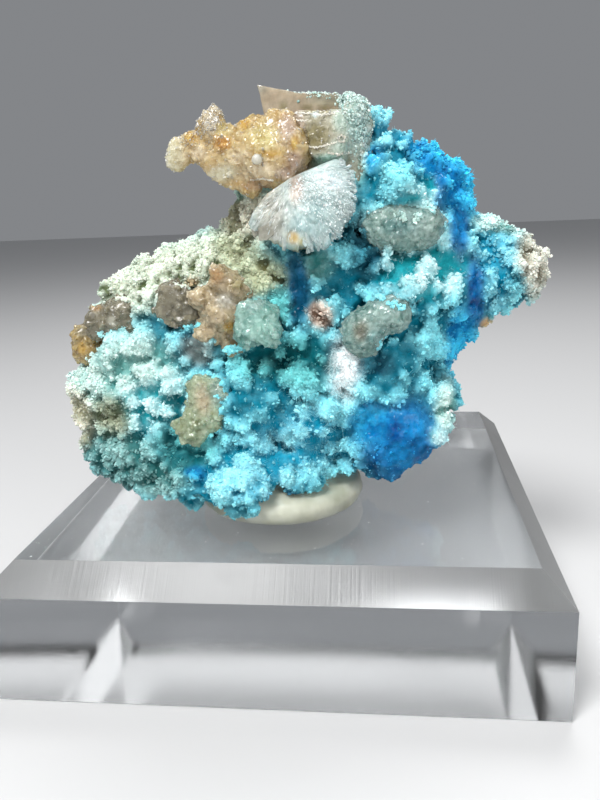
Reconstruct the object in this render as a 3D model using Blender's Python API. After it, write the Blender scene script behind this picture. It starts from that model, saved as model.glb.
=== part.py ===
"""A blue crusted mineral specimen stuck with putty to a clear bevelled display block.

Frame: +Z up, X to the right and +Y away from the side that is shown. The origin is the
centre of the block's underside. Driving dimensions are in millimetres.
"""

import math
import random

import bmesh
import bpy
from mathutils import Euler, Matrix, Vector
from mathutils.geometry import intersect_point_line
from mathutils.noise import noise_vector, seed_set

MM = 0.001
GAP = 0.32  # clearance between pieces that touch

# Display block: a standard two inch square, half an inch thick
BLOCK_SIDE = 50.8
BLOCK_THICKNESS = 12.7
BLOCK_BEVEL = 2.5

# Putty pad, pressed flat under the stone's front foot
PUTTY_CENTRE = (-0.6, -8.3)
PUTTY_RADIUS = 8.4
PUTTY_HEIGHT = 3.6
PUTTY_EDGE = 1.3

# Crusted matrix: its outline seen from the front, in X and Z, and how thick it is
MATRIX_MID_Y = -6.0
MATRIX_HALF_THICKNESS = 7.4
MATRIX_FILL_STEP = 1.9
MATRIX_OUTLINE = [
    (-3.5, 42.5), (-5.6, 38.9), (-9.0, 38.3), (-12.8, 36.8), (-16.2, 34.4), (-17.4, 32.4), (-19.2, 30.4),
    (-21.0, 28.0), (-21.8, 23.0), (-21.2, 18.6), (-19.0, 16.0), (-15.0, 14.6), (-9.5, 14.2), (-3.5, 14.0),
    (2.0, 14.0), (6.5, 15.0), (11.5, 15.6), (14.6, 17.4), (16.2, 20.5), (16.0, 25.5), (17.4, 29.0),
    (21.0, 32.4), (23.8, 34.8), (23.2, 37.6), (21.4, 39.2), (18.8, 39.8), (17.5, 43.5), (16.0, 46.2),
    (13.6, 46.8), (11.0, 47.2), (9.0, 48.2), (6.0, 48.4), (2.0, 47.6),
]

# Named swellings of the crust: X, Y, Z and radius
CRUST_SWELLINGS = {
    "foot_centre": (-3.4, -14.1, 16.8, 3.6),
    "foot_left": (-8.2, -12.2, 17.2, 3.8),
    "foot_right": (1.0, -12.0, 17.3, 3.6),
    "belly": (-2.0, -11.0, 24.0, 4.6),
    "lower_left": (-13.8, -9.8, 18.4, 4.2),
    "left_foot": (-18.2, -8.4, 18.6, 3.2),
    "left_lobe": (-17.6, -7.8, 23.6, 4.5),
    "left_shoulder": (-15.0, -8.6, 27.6, 4.0),
    "cream_far": (-15.4, -6.8, 33.8, 2.3),
    "cream_left": (-12.8, -7.0, 35.4, 2.5),
    "cream_middle": (-9.8, -7.4, 36.0, 2.6),
    "cream_top": (-6.8, -7.4, 37.4, 2.3),
    "cream_front": (-11.8, -9.6, 33.4, 2.5),
    "cream_right": (-7.2, -9.8, 35.4, 2.5),
    "neck": (-2.6, -7.6, 40.6, 2.3),
    "neck_top": (-0.6, -7.2, 43.4, 2.4),
    "deep_blue_knob": (11.7, -10.4, 21.0, 4.0),
    "deep_blue_lip": (9.4, -11.0, 19.2, 3.1),
    "deep_blue_side": (13.6, -9.0, 22.8, 3.1),
    "right_belly": (10.0, -11.0, 27.6, 3.6),
    "middle_ledge": (12.0, -11.4, 34.4, 3.4),
    "upper_ledge": (11.4, -10.4, 42.6, 3.8),
    "upper_ridge": (15.0, -8.2, 42.8, 2.7),
    "crest_left": (9.6, -7.4, 47.6, 2.1),
    "crest_right": (12.2, -7.4, 46.0, 2.2),
    "knob_under_rosette": (3.4, -12.6, 37.4, 1.7),
    "right_lobe": (21.2, -6.8, 35.6, 3.3),
    "right_lobe_tip": (23.2, -6.4, 35.0, 2.3),
    "right_lobe_top": (20.4, -6.8, 37.8, 2.4),
    "right_lobe_foot": (19.8, -6.8, 32.8, 2.2),
    "back_upper": (7.0, -2.4, 38.0, 5.6),
    "back_middle": (-2.0, -1.6, 28.0, 5.8),
    "back_left": (-12.0, -2.6, 24.6, 5.2),
    "back_foot": (3.0, -2.4, 20.2, 5.4),
    "back_right": (11.5, -3.0, 27.0, 5.0),
}
# Pits and clefts in the crust: X, Y, Z and radius
CRUST_PITS = {
    "blue_cleft": (1.4, -15.2, 34.6, 2.3),
    "blue_cleft_top": (0.6, -14.4, 37.4, 2.0),
    "shade_below_cream": (-8.4, -13.6, 30.2, 2.6),
    "right_hollow": (9.8, -16.4, 24.0, 2.0),
    "cleft_by_rosette": (7.4, -15.6, 38.4, 1.9),
    "foot_hollow": (1.4, -16.0, 15.6, 1.8),
    "left_notch": (-16.6, -11.6, 31.6, 1.7),
    "right_waist": (17.9, -10.4, 25.6, 1.8),
}

# Plate: its outline seen from the front, in X and Z, from front to back, leaning back as it rises
PLATE_OUTLINE = [(-0.5, 52.4), (3.0, 51.55), (6.5, 51.35), (6.9, 49.2), (4.6, 48.3), (2.2, 48.4), (0.1, 49.4)]
PLATE_FRONT_Y = -11.4
PLATE_BACK_Y = -8.6
PLATE_LEAN = 0.08

# Rosette: a fan whose angles go clockwise from the shown side's right, with its blades' lengths
FAN_APEX = Vector((2.6, -14.0, 44.6))
FAN_REACH = [(-20, 4.0), (0, 5.0), (25, 5.7), (50, 6.3), (75, 6.6), (98, 6.1), (122, 5.6)]
FAN_RIGHT = Vector((0.99, 0.12, 0.0)).normalized()
FAN_OUT = Vector((0.12, -0.97, 0.2)).normalized()
FAN_BULGE_FRONT = 2.5
FAN_BULGE_BACK = 4.0
FAN_BLADES = 20
FAN_RINGS = 8
FAN_RAGGED = 0.03

CRUST_VOXEL = 0.5
CRUST_FACES = 4000
CRUST_BACK_THINNING = 0.12  # how much more the hidden back is thinned than the front
CRUST_BACK_Y = -3.0  # the crust behind this is the hidden back
CRUST_SEED = 7
NOISE_SEED = 5  # the noise that roughens grown surfaces is the same each run
CRUST_LUMP_COUNT = 460
CRUST_LUMP_RADIUS = (0.9, 1.8)
CRUST_LUMP_SINK = (-0.7, 0.1)  # how far a lump's middle stands out of the skin, in radii
CRUST_PORE_COUNT = 150
CRUST_PORE_RADIUS = (0.6, 1.2)

# Sockets are cut with a copy of the neighbour, grown by the gap
SOCKET_VOXEL = 0.36
SOCKET_GROWTH = GAP + 0.16
SOCKET_FACES = 140


def clear_scene():
    """An empty scene, whatever file this runs from."""
    for old in list(bpy.data.objects):
        bpy.data.objects.remove(old)


def principled(name, colour, roughness, metallic=0.0, transmission=0.0):
    """A plain surface with the piece's colour."""
    material = bpy.data.materials.new(name)
    material.use_nodes = True
    shader = material.node_tree.nodes["Principled BSDF"]
    shader.inputs["Base Color"].default_value = (*colour, 1.0)
    shader.inputs["Roughness"].default_value = roughness
    shader.inputs["Metallic"].default_value = metallic
    shader.inputs["Transmission Weight"].default_value = transmission
    material.diffuse_color = (*colour, 1.0)
    return material


def object_from(name, form, material=None):
    """A bmesh in millimetres as a named object in metres."""
    bmesh.ops.scale(form, vec=(MM, MM, MM), verts=form.verts)
    mesh = bpy.data.meshes.new(name)
    form.to_mesh(mesh)
    form.free()
    made = bpy.data.objects.new(name, mesh)
    bpy.context.scene.collection.objects.link(made)
    if material:
        mesh.materials.append(material)
    return made


def applied(made):
    """The object with its modifiers worked into its mesh, and only its largest body kept."""
    graph = bpy.context.evaluated_depsgraph_get()
    mesh = bpy.data.meshes.new_from_object(made.evaluated_get(graph))
    made.modifiers.clear()
    made.data = mesh
    keep_largest_body(mesh)
    return made


def keep_largest_body(mesh):
    """Deletes crumbs that a cut left apart from the main body, or that touch it at a corner alone."""
    form = bmesh.new()
    form.from_mesh(mesh)
    waiting = dict.fromkeys(form.faces)
    bodies = []
    while waiting:
        first, _ = waiting.popitem()
        front = [first]
        body = [first]
        while front:
            face = front.pop()
            for other in [other for edge in face.edges for other in edge.link_faces]:
                if other in waiting:
                    del waiting[other]
                    front.append(other)
                    body.append(other)
        bodies.append(body)
    bodies.sort(key=len)
    crumbs = [face for body in bodies[:-1] for face in body]
    bmesh.ops.delete(form, geom=crumbs, context="FACES")
    form.to_mesh(mesh)
    form.free()


def add_remesh(made, voxel):
    """Everything in the mesh made one closed skin."""
    remesh = made.modifiers.new("union", "REMESH")
    remesh.mode = "VOXEL"
    remesh.voxel_size = voxel * MM


def add_decimate(made, faces, group=""):
    """Thins the mesh to about this many triangles, most of all where the group's weight is high."""
    graph = bpy.context.evaluated_depsgraph_get()
    whole = made.evaluated_get(graph).to_mesh()
    whole.calc_loop_triangles()
    count = len(whole.loop_triangles)
    thin = made.modifiers.new("thin", "DECIMATE")
    thin.ratio = min(1.0, faces / count)
    thin.vertex_group = group


def add_boolean(made, cutter, operation):
    """A Boolean of the exact solver against one guide object."""
    boolean = made.modifiers.new(operation.lower(), "BOOLEAN")
    boolean.operation = operation
    boolean.solver = "EXACT"
    boolean.object = cutter


def add_ball(form, centre, radius, subdivisions=2, squash=(1.0, 1.0, 1.0), turn=(0.0, 0.0, 0.0)):
    """One rounded lump, its radii the radius times squash, turned by angles in degrees."""
    place = Matrix.LocRotScale(Vector(centre), Euler([math.radians(a) for a in turn]), Vector(squash))
    bmesh.ops.create_icosphere(form, subdivisions=subdivisions, radius=radius, matrix=place)


def add_block(form, centre, size, turn):
    """One rectangular crystal of full size (x, y, z), turned by angles in degrees."""
    place = Matrix.LocRotScale(Vector(centre), Euler([math.radians(a) for a in turn]), Vector(size))
    bmesh.ops.create_cube(form, size=1.0, matrix=place)


def add_prism(form, foot, tip, radius, sides=6, taper=0.62, cap=0.28):
    """One crystal column from foot to tip, ending in a blunt point over its last cap share."""
    axis = Vector(tip) - Vector(foot)
    turn = axis.to_track_quat("Z", "Y").to_matrix().to_4x4()
    place = Matrix.Translation(Vector(foot)) @ turn
    length = axis.length
    rings = [(0.0, radius), (length * (1.0 - cap), radius * (0.5 + taper / 2)), (length, radius * (1.0 - taper))]
    loops = []
    for height, reach in rings:
        corners = [math.tau * i / sides for i in range(sides)]
        points = [(reach * math.cos(a), reach * math.sin(a), height) for a in corners]
        loops.append([form.verts.new(place @ Vector(p)) for p in points])
    form.faces.new(reversed(loops[0]))
    form.faces.new(loops[-1])
    for lower, upper in zip(loops, loops[1:]):
        for i in range(sides):
            j = (i + 1) % sides
            form.faces.new((lower[i], lower[j], upper[j], upper[i]))


def inside(point, outline):
    """Whether a 2-D point lies inside a closed outline."""
    x, z = point
    crossings = 0
    for (ax, az), (bx, bz) in zip(outline, outline[1:] + outline[:1]):
        if (az > z) != (bz > z) and x < ax + (z - az) * (bx - ax) / (bz - az):
            crossings += 1
    return crossings % 2 == 1


def edge_distance(point, outline):
    """How far a 2-D point is from a closed outline."""
    spot = Vector((*point, 0.0))
    nearest = math.inf
    for a, b in zip(outline, outline[1:] + outline[:1]):
        start, end = Vector((*a, 0.0)), Vector((*b, 0.0))
        foot, share = intersect_point_line(spot, start, end)
        foot = start if share < 0.0 else end if share > 1.0 else foot
        nearest = min(nearest, (spot - foot).length)
    return nearest


def add_pillow(form, outline, mid_y, half_thickness, step):
    """A round-edged slab: balls that each just reach the outline or the full thickness."""
    xs = [x for x, _ in outline]
    zs = [z for _, z in outline]
    x = min(xs)
    while x < max(xs):
        z = min(zs)
        while z < max(zs):
            if inside((x, z), outline):
                radius = min(edge_distance((x, z), outline), half_thickness)
                if radius > 0.9:
                    add_ball(form, (x, mid_y, z), radius)
            z += step
        x += step


def surface_spots(made, count, seed):
    """Seeded points spread over a mesh by area, in millimetres, with their normals."""
    chance = random.Random(seed)
    mesh = made.data
    mesh.calc_loop_triangles()
    triangles = mesh.loop_triangles
    areas = [t.area for t in triangles]
    spots = []
    for triangle in chance.choices(triangles, weights=areas, k=count):
        a, b, c = (mesh.vertices[i].co for i in triangle.vertices)
        u, v = sorted((chance.random(), chance.random()))
        spots.append(((a * u + b * (v - u) + c * (1.0 - v)) / MM, triangle.normal.copy()))
    return spots


def add_crust_lumps(form, body):
    """Rounded lumps of mixed size, more than half sunk in the body's skin."""
    chance = random.Random(CRUST_SEED)
    small, large = CRUST_LUMP_RADIUS
    for spot, normal in surface_spots(body, CRUST_LUMP_COUNT, CRUST_SEED):
        radius = small + (large - small) * chance.random() ** 1.7
        centre = spot + normal * (chance.uniform(*CRUST_LUMP_SINK) * radius)
        if centre.z - radius > BLOCK_THICKNESS + GAP + 0.05:
            turn = [chance.uniform(0.0, 360.0) for _ in range(3)]
            add_ball(form, centre, radius, 1, (1.0, chance.uniform(0.7, 1.0), chance.uniform(0.7, 1.0)), turn)


def add_crust_pores(form, body):
    """Small holes between the lumps of the side that is shown."""
    chance = random.Random(CRUST_SEED + 1)
    for spot, normal in surface_spots(body, CRUST_PORE_COUNT, CRUST_SEED + 1):
        if spot.y < MATRIX_MID_Y:
            radius = chance.uniform(*CRUST_PORE_RADIUS)
            add_ball(form, spot + normal * 0.25 * radius, radius, 1, (1.0, 1.3, 1.0))


def roughen(made, size, depth):
    """Pushes each vertex by smooth noise of the given size and depth, in millimetres."""
    for vert in made.data.vertices:
        vert.co += noise_vector(vert.co / (size * MM)) * depth * MM


def socket_cutter(made):
    """A guide that is the object grown by the gap, for cutting its neighbours."""
    cutter = made.copy()
    cutter.data = made.data.copy()
    cutter.name = made.name + "_socket"
    bpy.context.scene.collection.objects.link(cutter)
    add_remesh(cutter, SOCKET_VOXEL)
    grow = cutter.modifiers.new("grow", "DISPLACE")
    grow.strength = SOCKET_GROWTH * MM
    grow.mid_level = 0.0
    add_remesh(cutter, SOCKET_VOXEL)
    applied(cutter)
    add_decimate(cutter, SOCKET_FACES)
    applied(cutter)
    cutter.hide_render = True
    cutter.display_type = "WIRE"
    return cutter


def display_block():
    """The clear block: upright sides, top edges bevelled at 45 degrees."""
    form = bmesh.new()
    half = BLOCK_SIDE / 2
    top = half - BLOCK_BEVEL
    shoulder = BLOCK_THICKNESS - BLOCK_BEVEL
    corners = [(-1, -1), (1, -1), (1, 1), (-1, 1)]
    rings = [(half, 0.0), (half, shoulder), (top, BLOCK_THICKNESS)]
    loops = [[form.verts.new((cx * reach, cy * reach, z)) for cx, cy in corners] for reach, z in rings]
    form.faces.new(reversed(loops[0]))
    form.faces.new(loops[-1])
    for lower, upper in zip(loops, loops[1:]):
        for i in range(4):
            j = (i + 1) % 4
            form.faces.new((lower[i], lower[j], upper[j], upper[i]))
    return object_from("display_block", form, principled("clear_acrylic", (0.92, 0.93, 0.93), 0.05, transmission=1.0))


def putty_pad():
    """A flattened ball of putty: flat underneath, a bulging edge and a crowned top."""
    form = bmesh.new()
    low = BLOCK_THICKNESS + GAP
    steps = 4
    profile = [(0.0, low), (PUTTY_RADIUS - PUTTY_EDGE * 0.5, low)]
    for i in range(steps + 1):
        angle = math.radians(-60.0 + 150.0 * i / steps)
        out = PUTTY_RADIUS - PUTTY_EDGE + PUTTY_EDGE * math.cos(angle)
        profile.append((out, low + PUTTY_EDGE * 0.87 + PUTTY_EDGE * math.sin(angle)))
    profile += [(PUTTY_RADIUS * 0.45, low + PUTTY_HEIGHT * 0.94), (0.0, low + PUTTY_HEIGHT)]
    line = [form.verts.new((x, 0.0, z)) for x, z in profile]
    edges = [form.edges.new(pair) for pair in zip(line, line[1:])]
    bmesh.ops.spin(form, geom=line + edges, axis=(0, 0, 1), cent=(0, 0, 0), angle=math.tau, steps=24, use_merge=True)
    bmesh.ops.remove_doubles(form, verts=form.verts, dist=0.01)
    bmesh.ops.recalc_face_normals(form, faces=form.faces)
    bmesh.ops.translate(form, vec=(*PUTTY_CENTRE, 0.0), verts=form.verts)
    return object_from("mounting_putty", form, principled("mounting_putty", (0.78, 0.76, 0.68), 0.45))


def plate_crystal():
    """The clear tabular crystal with one sharp corner, at the top of the crown."""
    form = bmesh.new()
    depth = PLATE_BACK_Y - PLATE_FRONT_Y
    leaning = [(x, PLATE_FRONT_Y + PLATE_LEAN * (z - PLATE_OUTLINE[0][1]), z) for x, z in PLATE_OUTLINE]
    front = [form.verts.new(place) for place in leaning]
    back = [form.verts.new((x, y + depth, z)) for x, y, z in leaning]
    form.faces.new(front)
    form.faces.new(reversed(back))
    for i in range(len(front)):
        j = (i + 1) % len(front)
        form.faces.new((front[j], front[i], back[i], back[j]))
    bmesh.ops.recalc_face_normals(form, faces=form.faces)
    return object_from("plate_crystal", form, principled("plate_crystal", (0.80, 0.72, 0.66), 0.12))


def fan_reach(angle):
    """Length of the rosette's blades at an angle, between the named lengths."""
    for (low, short), (high, long) in zip(FAN_REACH, FAN_REACH[1:]):
        if angle <= high:
            return short + (long - short) * (angle - low) / (high - low)
    return FAN_REACH[-1][1]


def clear_rosette():
    """A domed fan of blades grown from one point: its front and back meet along the ragged rim."""
    form = bmesh.new()
    down = FAN_RIGHT.cross(FAN_OUT).normalized()
    low, high = FAN_REACH[0][0], FAN_REACH[-1][0]
    apex = form.verts.new(FAN_APEX)
    front, back = [], []
    for i in range(FAN_BLADES + 1):
        side = i / FAN_BLADES
        angle = low + (high - low) * side
        turn = math.radians(angle)
        way = math.cos(turn) * FAN_RIGHT + math.sin(turn) * down
        ragged = 1.0 + (FAN_RAGGED if i % 2 else -FAN_RAGGED)
        front_row, back_row = [apex], [apex]
        for j in range(1, FAN_RINGS + 1):
            radius = j / FAN_RINGS
            spot = FAN_APEX + way * radius * fan_reach(angle) * ragged
            edge = math.sin(math.pi * side) ** 0.4 * math.sqrt(1.0 - radius**5) * radius**0.55
            if edge < 0.01:
                rim = form.verts.new(spot)
                front_row.append(rim)
                back_row.append(rim)
                continue
            front_row.append(form.verts.new(spot + FAN_OUT * FAN_BULGE_FRONT * edge * ragged))
            back_row.append(form.verts.new(spot - FAN_OUT * FAN_BULGE_BACK * edge))
        front.append(front_row)
        back.append(back_row)
    for rows in (front, back):
        for row, following in zip(rows, rows[1:]):
            for j in range(FAN_RINGS):
                corners = (row[j], following[j], following[j + 1], row[j + 1])
                form.faces.new(dict.fromkeys(corners))
    bmesh.ops.recalc_face_normals(form, faces=form.faces)
    return object_from("clear_rosette", form, principled("clear_rosette", (0.78, 0.84, 0.85), 0.2))


def united(name, form, voxel, faces, material, rough=None):
    """The form's overlapping shapes as one closed solid of about this many triangles."""
    made = object_from(name, form, material)
    add_remesh(made, voxel)
    applied(made)
    if rough:
        roughen(made, *rough)
        add_remesh(made, voxel)
        applied(made)
    add_decimate(made, faces)
    return applied(made)


def amber_crystal_arm():
    """The honey-coloured spray that reaches out to the left, knob after knob."""
    form = bmesh.new()
    knobs = [
        (1.2, -12.0, 46.2, 2.5), (-0.6, -12.2, 46.8, 2.5), (-2.0, -12.0, 46.2, 1.9), (-3.6, -12.2, 47.8, 1.3),
        (-4.5, -12.2, 49.0, 1.15), (-4.1, -12.2, 50.3, 0.6), (-4.6, -12.2, 46.6, 1.2), (-6.0, -12.0, 47.2, 0.9),
        (-6.7, -12.2, 48.2, 0.7), (-3.9, -12.5, 45.1, 0.8), (-2.9, -12.5, 44.7, 0.8), (-5.0, -12.4, 45.7, 0.6),
        (-1.6, -12.6, 44.6, 1.1), (0.8, -12.0, 49.0, 1.2), (-1.2, -12.0, 48.6, 1.1), (2.2, -12.4, 47.0, 1.9),
        (1.8, -12.2, 48.6, 1.5), (-1.4, -12.6, 43.9, 0.9),
    ]
    for x, y, z, radius in knobs:
        add_ball(form, (x, y, z), radius, 2)
    add_block(form, (-8.0, -12.0, 47.0), (1.5, 0.9, 2.9), (0, 10, 8))
    add_block(form, (-7.2, -12.0, 47.3), (1.8, 1.0, 1.9), (0, -24, 0))
    add_block(form, (0.4, -13.6, 45.6), (2.6, 1.6, 2.4), (12, 30, 24))
    add_block(form, (-2.4, -13.2, 46.4), (1.8, 1.4, 1.8), (0, 40, 10))
    return united("amber_crystal_arm", form, 0.34, 780, principled("amber_crystal", (0.80, 0.56, 0.26), 0.25), (1.1, 0.28))


def frosted_crystal_head():
    """The grey frosted crystals behind the rosette, with a sugary right rim."""
    form = bmesh.new()
    add_block(form, (5.2, -9.0, 47.2), (6.4, 5.0, 6.8), (0, 4, -8))
    add_block(form, (6.4, -10.6, 46.2), (3.6, 3.2, 5.2), (8, -6, 14))
    add_block(form, (4.6, -12.3, 47.9), (4.9, 2.4, 3.5), (-4, 3, 6))
    for x, z in [(8.3, 50.2), (8.6, 48.4), (8.5, 46.6), (8.3, 44.8), (7.0, 50.8), (5.6, 51.0)]:
        add_ball(form, (x, -9.6, z), 0.95, 1)
    return united("frosted_crystal_head", form, 0.42, 460, principled("frosted_crystal", (0.52, 0.50, 0.44), 0.4), (1.3, 0.3))


def smoky_crystal_spray():
    """Rosy brown columns that fan out of the crust at the left of the cleft."""
    form = bmesh.new()
    root = (-3.0, -9.6, 32.6)
    tips = [
        (-4.6, -14.6, 37.0, 1.5), (-6.9, -14.4, 34.6, 1.6), (-6.6, -14.6, 31.0, 1.4), (-3.0, -14.6, 35.6, 1.7),
        (-4.8, -15.4, 33.0, 1.9), (-4.0, -14.0, 29.2, 1.2),
    ]
    for x, y, z, radius in tips:
        add_prism(form, root, (x, y, z), radius)
    return united("smoky_crystal_spray", form, 0.34, 420, principled("smoky_crystal", (0.55, 0.42, 0.33), 0.22))


def block_cluster(name, blocks, colour, roughness, faces):
    """Rectangular crystals grown into each other."""
    form = bmesh.new()
    for centre, size, turn in blocks:
        add_block(form, centre, size, turn)
    return united(name, form, 0.3, faces, principled(name, colour, roughness))


def dome_cluster(name, domes, colour, faces):
    """Rounded frosted crystals grown into each other."""
    form = bmesh.new()
    for x, y, z, radius, squash in domes:
        add_ball(form, (x, y, z), radius, 3, squash)
    return united(name, form, 0.36, faces, principled(name, colour, 0.35), (0.9, 0.16))


def crusted_matrix():
    """The stone itself: pillow, swellings and pits, crusted all over with lumps."""
    form = bmesh.new()
    add_pillow(form, MATRIX_OUTLINE, MATRIX_MID_Y, MATRIX_HALF_THICKNESS, MATRIX_FILL_STEP)
    for x, y, z, radius in CRUST_SWELLINGS.values():
        add_ball(form, (x, y, z), radius, 3)
    body = object_from("crusted_matrix", form, principled("blue_crust", (0.16, 0.55, 0.62), 0.6))
    add_remesh(body, CRUST_VOXEL)
    applied(body)

    form = bmesh.new()
    form.from_mesh(body.data)
    bmesh.ops.scale(form, vec=(1 / MM, 1 / MM, 1 / MM), verts=form.verts)
    add_crust_lumps(form, body)
    bpy.data.objects.remove(body)
    body = object_from("crusted_matrix", form, bpy.data.materials["blue_crust"])
    add_remesh(body, CRUST_VOXEL)
    applied(body)

    pits = bmesh.new()
    for x, y, z, radius in CRUST_PITS.values():
        add_ball(pits, (x, y, z), radius, 2, (1.0, 1.5, 1.1))
    add_crust_pores(pits, body)
    cutter = guide("crust_pits", pits)
    add_boolean(body, cutter, "DIFFERENCE")
    applied(body)
    roughen(body, 0.9, 0.3)
    add_remesh(body, CRUST_VOXEL)
    applied(body)
    mark_back(body)
    add_decimate(body, CRUST_FACES, "back")
    return applied(body)


def mark_back(made):
    """A vertex group of the side that the specimen turns away."""
    group = made.vertex_groups.new(name="back")
    for vert in made.data.vertices:
        hidden = vert.co.y / MM > CRUST_BACK_Y
        group.add([vert.index], 1.0 if hidden else 1.0 - CRUST_BACK_THINNING, "REPLACE")


def guide(name, form):
    """A cutter, which is no piece of the object."""
    made = object_from(name, form)
    add_remesh(made, SOCKET_VOXEL)
    applied(made)
    made.hide_render = True
    made.display_type = "WIRE"
    return made


def near(a, b):
    """Whether two objects' boxes come close enough for them to touch."""
    margin = 2 * SOCKET_GROWTH * MM
    for k in range(3):
        a_side = [v.co[k] for v in a.data.vertices]
        b_side = [v.co[k] for v in b.data.vertices]
        if min(a_side) > max(b_side) + margin or min(b_side) > max(a_side) + margin:
            return False
    return True


def fit_together(pieces):
    """Each piece is cut clear of those before it in the list."""
    cutters = []
    for piece in pieces:
        for owner, cutter in cutters:
            if near(owner, piece):
                add_boolean(piece, cutter, "DIFFERENCE")
        if piece.modifiers:
            applied(piece)
        cutters.append((piece, socket_cutter(piece)))
    for _, cutter in cutters:
        bpy.data.objects.remove(cutter)


def shade(pieces):
    """Round pieces smooth, with their real edges kept sharp."""
    for piece in pieces:
        piece.data.shade_smooth()
        piece.data.set_sharp_from_angle(angle=math.radians(32))


def main():
    clear_scene()
    seed_set(NOISE_SEED)
    block = display_block()
    crystals = [
        clear_rosette(),
        plate_crystal(),
        amber_crystal_arm(),
        frosted_crystal_head(),
        smoky_crystal_spray(),
        block_cluster(
            "green_blade_crystal",
            [((-6.6, -13.8, 24.6), (3.0, 2.0, 4.6), (4, 12, 14)), ((-7.6, -14.2, 22.4), (2.6, 1.7, 3.0), (0, 44, 10))],
            (0.47, 0.60, 0.50), 0.2, 160,
        ),
        block_cluster(
            "pale_green_crystals",
            [
                ((-1.2, -13.8, 33.0), (3.6, 2.2, 1.6), (10, 16, 8)), ((-0.6, -14.4, 31.4), (2.6, 2.2, 1.8), (-8, 24, -12)),
                ((-2.3, -13.8, 31.3), (1.8, 2.0, 2.4), (6, -20, 16)),
            ],
            (0.45, 0.68, 0.62), 0.2, 160,
        ),
        block_cluster(
            "smoky_corner_crystal",
            [((-16.4, -9.8, 32.3), (4.2, 3.8, 2.4), (8, -22, 10)), ((-15.0, -9.9, 31.8), (2.8, 3.4, 2.0), (0, 10, 20))],
            (0.36, 0.32, 0.29), 0.2, 140,
        ),
        block_cluster(
            "amber_corner_crystal",
            [((-19.1, -8.8, 29.7), (2.6, 3.2, 3.3), (0, -14, 12)), ((-19.4, -9.6, 29.0), (2.0, 2.2, 2.0), (14, 30, 0))],
            (0.62, 0.48, 0.24), 0.25, 140,
        ),
        block_cluster(
            "smoky_wall_crystal",
            [((-8.9, -11.4, 33.7), (3.6, 3.6, 2.9), (6, 22, 8)), ((-7.9, -11.7, 32.7), (2.2, 2.8, 2.2), (0, -14, 20))],
            (0.42, 0.38, 0.35), 0.25, 140,
        ),
        dome_cluster(
            "grey_dome_upper",
            [(10.8, -12.6, 40.2, 2.3, (1, 0.9, 0.9)), (13.0, -12.2, 40.0, 2.2, (1.1, 0.9, 0.9))],
            (0.48, 0.60, 0.58), 260,
        ),
        dome_cluster(
            "grey_dome_lower",
            [
                (8.2, -14.2, 30.9, 1.8, (0.9, 0.85, 1.15)), (10.6, -13.9, 32.5, 1.8, (1.1, 0.85, 0.9)),
                (9.2, -14.0, 32.0, 1.5, (1, 0.9, 1)),
            ],
            (0.42, 0.54, 0.50), 300,
        ),
    ]
    putty = putty_pad()
    pieces = [*crystals, putty, crusted_matrix()]
    fit_together(pieces)
    shade(pieces)
    block.data.shade_flat()


main()
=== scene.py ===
"""The looks of a blue crusted mineral specimen stuck to a clear bevelled display block.

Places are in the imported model's frame: +Z up, and the shown side looks towards -Y.
Sizes and places below are in millimetres, as in the solids' source, and MM makes them metres.
"""

import math

import bmesh
import bpy
import numpy as np
from mathutils import Matrix, Vector
from mathutils.bvhtree import BVHTree


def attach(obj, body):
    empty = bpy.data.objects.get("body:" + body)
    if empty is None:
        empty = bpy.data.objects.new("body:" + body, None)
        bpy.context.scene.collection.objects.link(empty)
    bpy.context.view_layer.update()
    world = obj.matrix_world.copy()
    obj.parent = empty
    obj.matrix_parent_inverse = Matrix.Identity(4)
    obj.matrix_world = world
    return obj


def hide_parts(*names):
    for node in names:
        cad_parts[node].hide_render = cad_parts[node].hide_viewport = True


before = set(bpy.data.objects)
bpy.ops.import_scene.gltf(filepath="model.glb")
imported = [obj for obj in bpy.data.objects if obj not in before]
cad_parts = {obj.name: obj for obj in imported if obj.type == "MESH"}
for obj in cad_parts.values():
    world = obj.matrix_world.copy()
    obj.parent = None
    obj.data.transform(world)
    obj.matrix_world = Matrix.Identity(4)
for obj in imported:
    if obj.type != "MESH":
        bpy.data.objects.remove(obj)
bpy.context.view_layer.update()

MM = 0.001
FEWER = 1.0

# The photograph's camera
EYE = np.array((10.81, -80.49, 43.04))
YAW, PITCH, ROLL = math.radians(-7.24), math.radians(15.24), math.radians(-2.47)
LENS = 33.8

FRONT_PLANE_Y = -12.0  # patches of colour are placed on this plane, as the camera sees them
BLOCK_TOP = 12.7
LOWEST_CRUST = BLOCK_TOP + 0.1
CRUST_SEED = 31


def srgb(red, green, blue):
    """A colour of 0 to 255 steps as linear light."""
    steps = np.array((red, green, blue)) / 255.0
    return np.where(steps <= 0.04045, steps / 12.92, ((steps + 0.055) / 1.055) ** 2.4)


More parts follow.
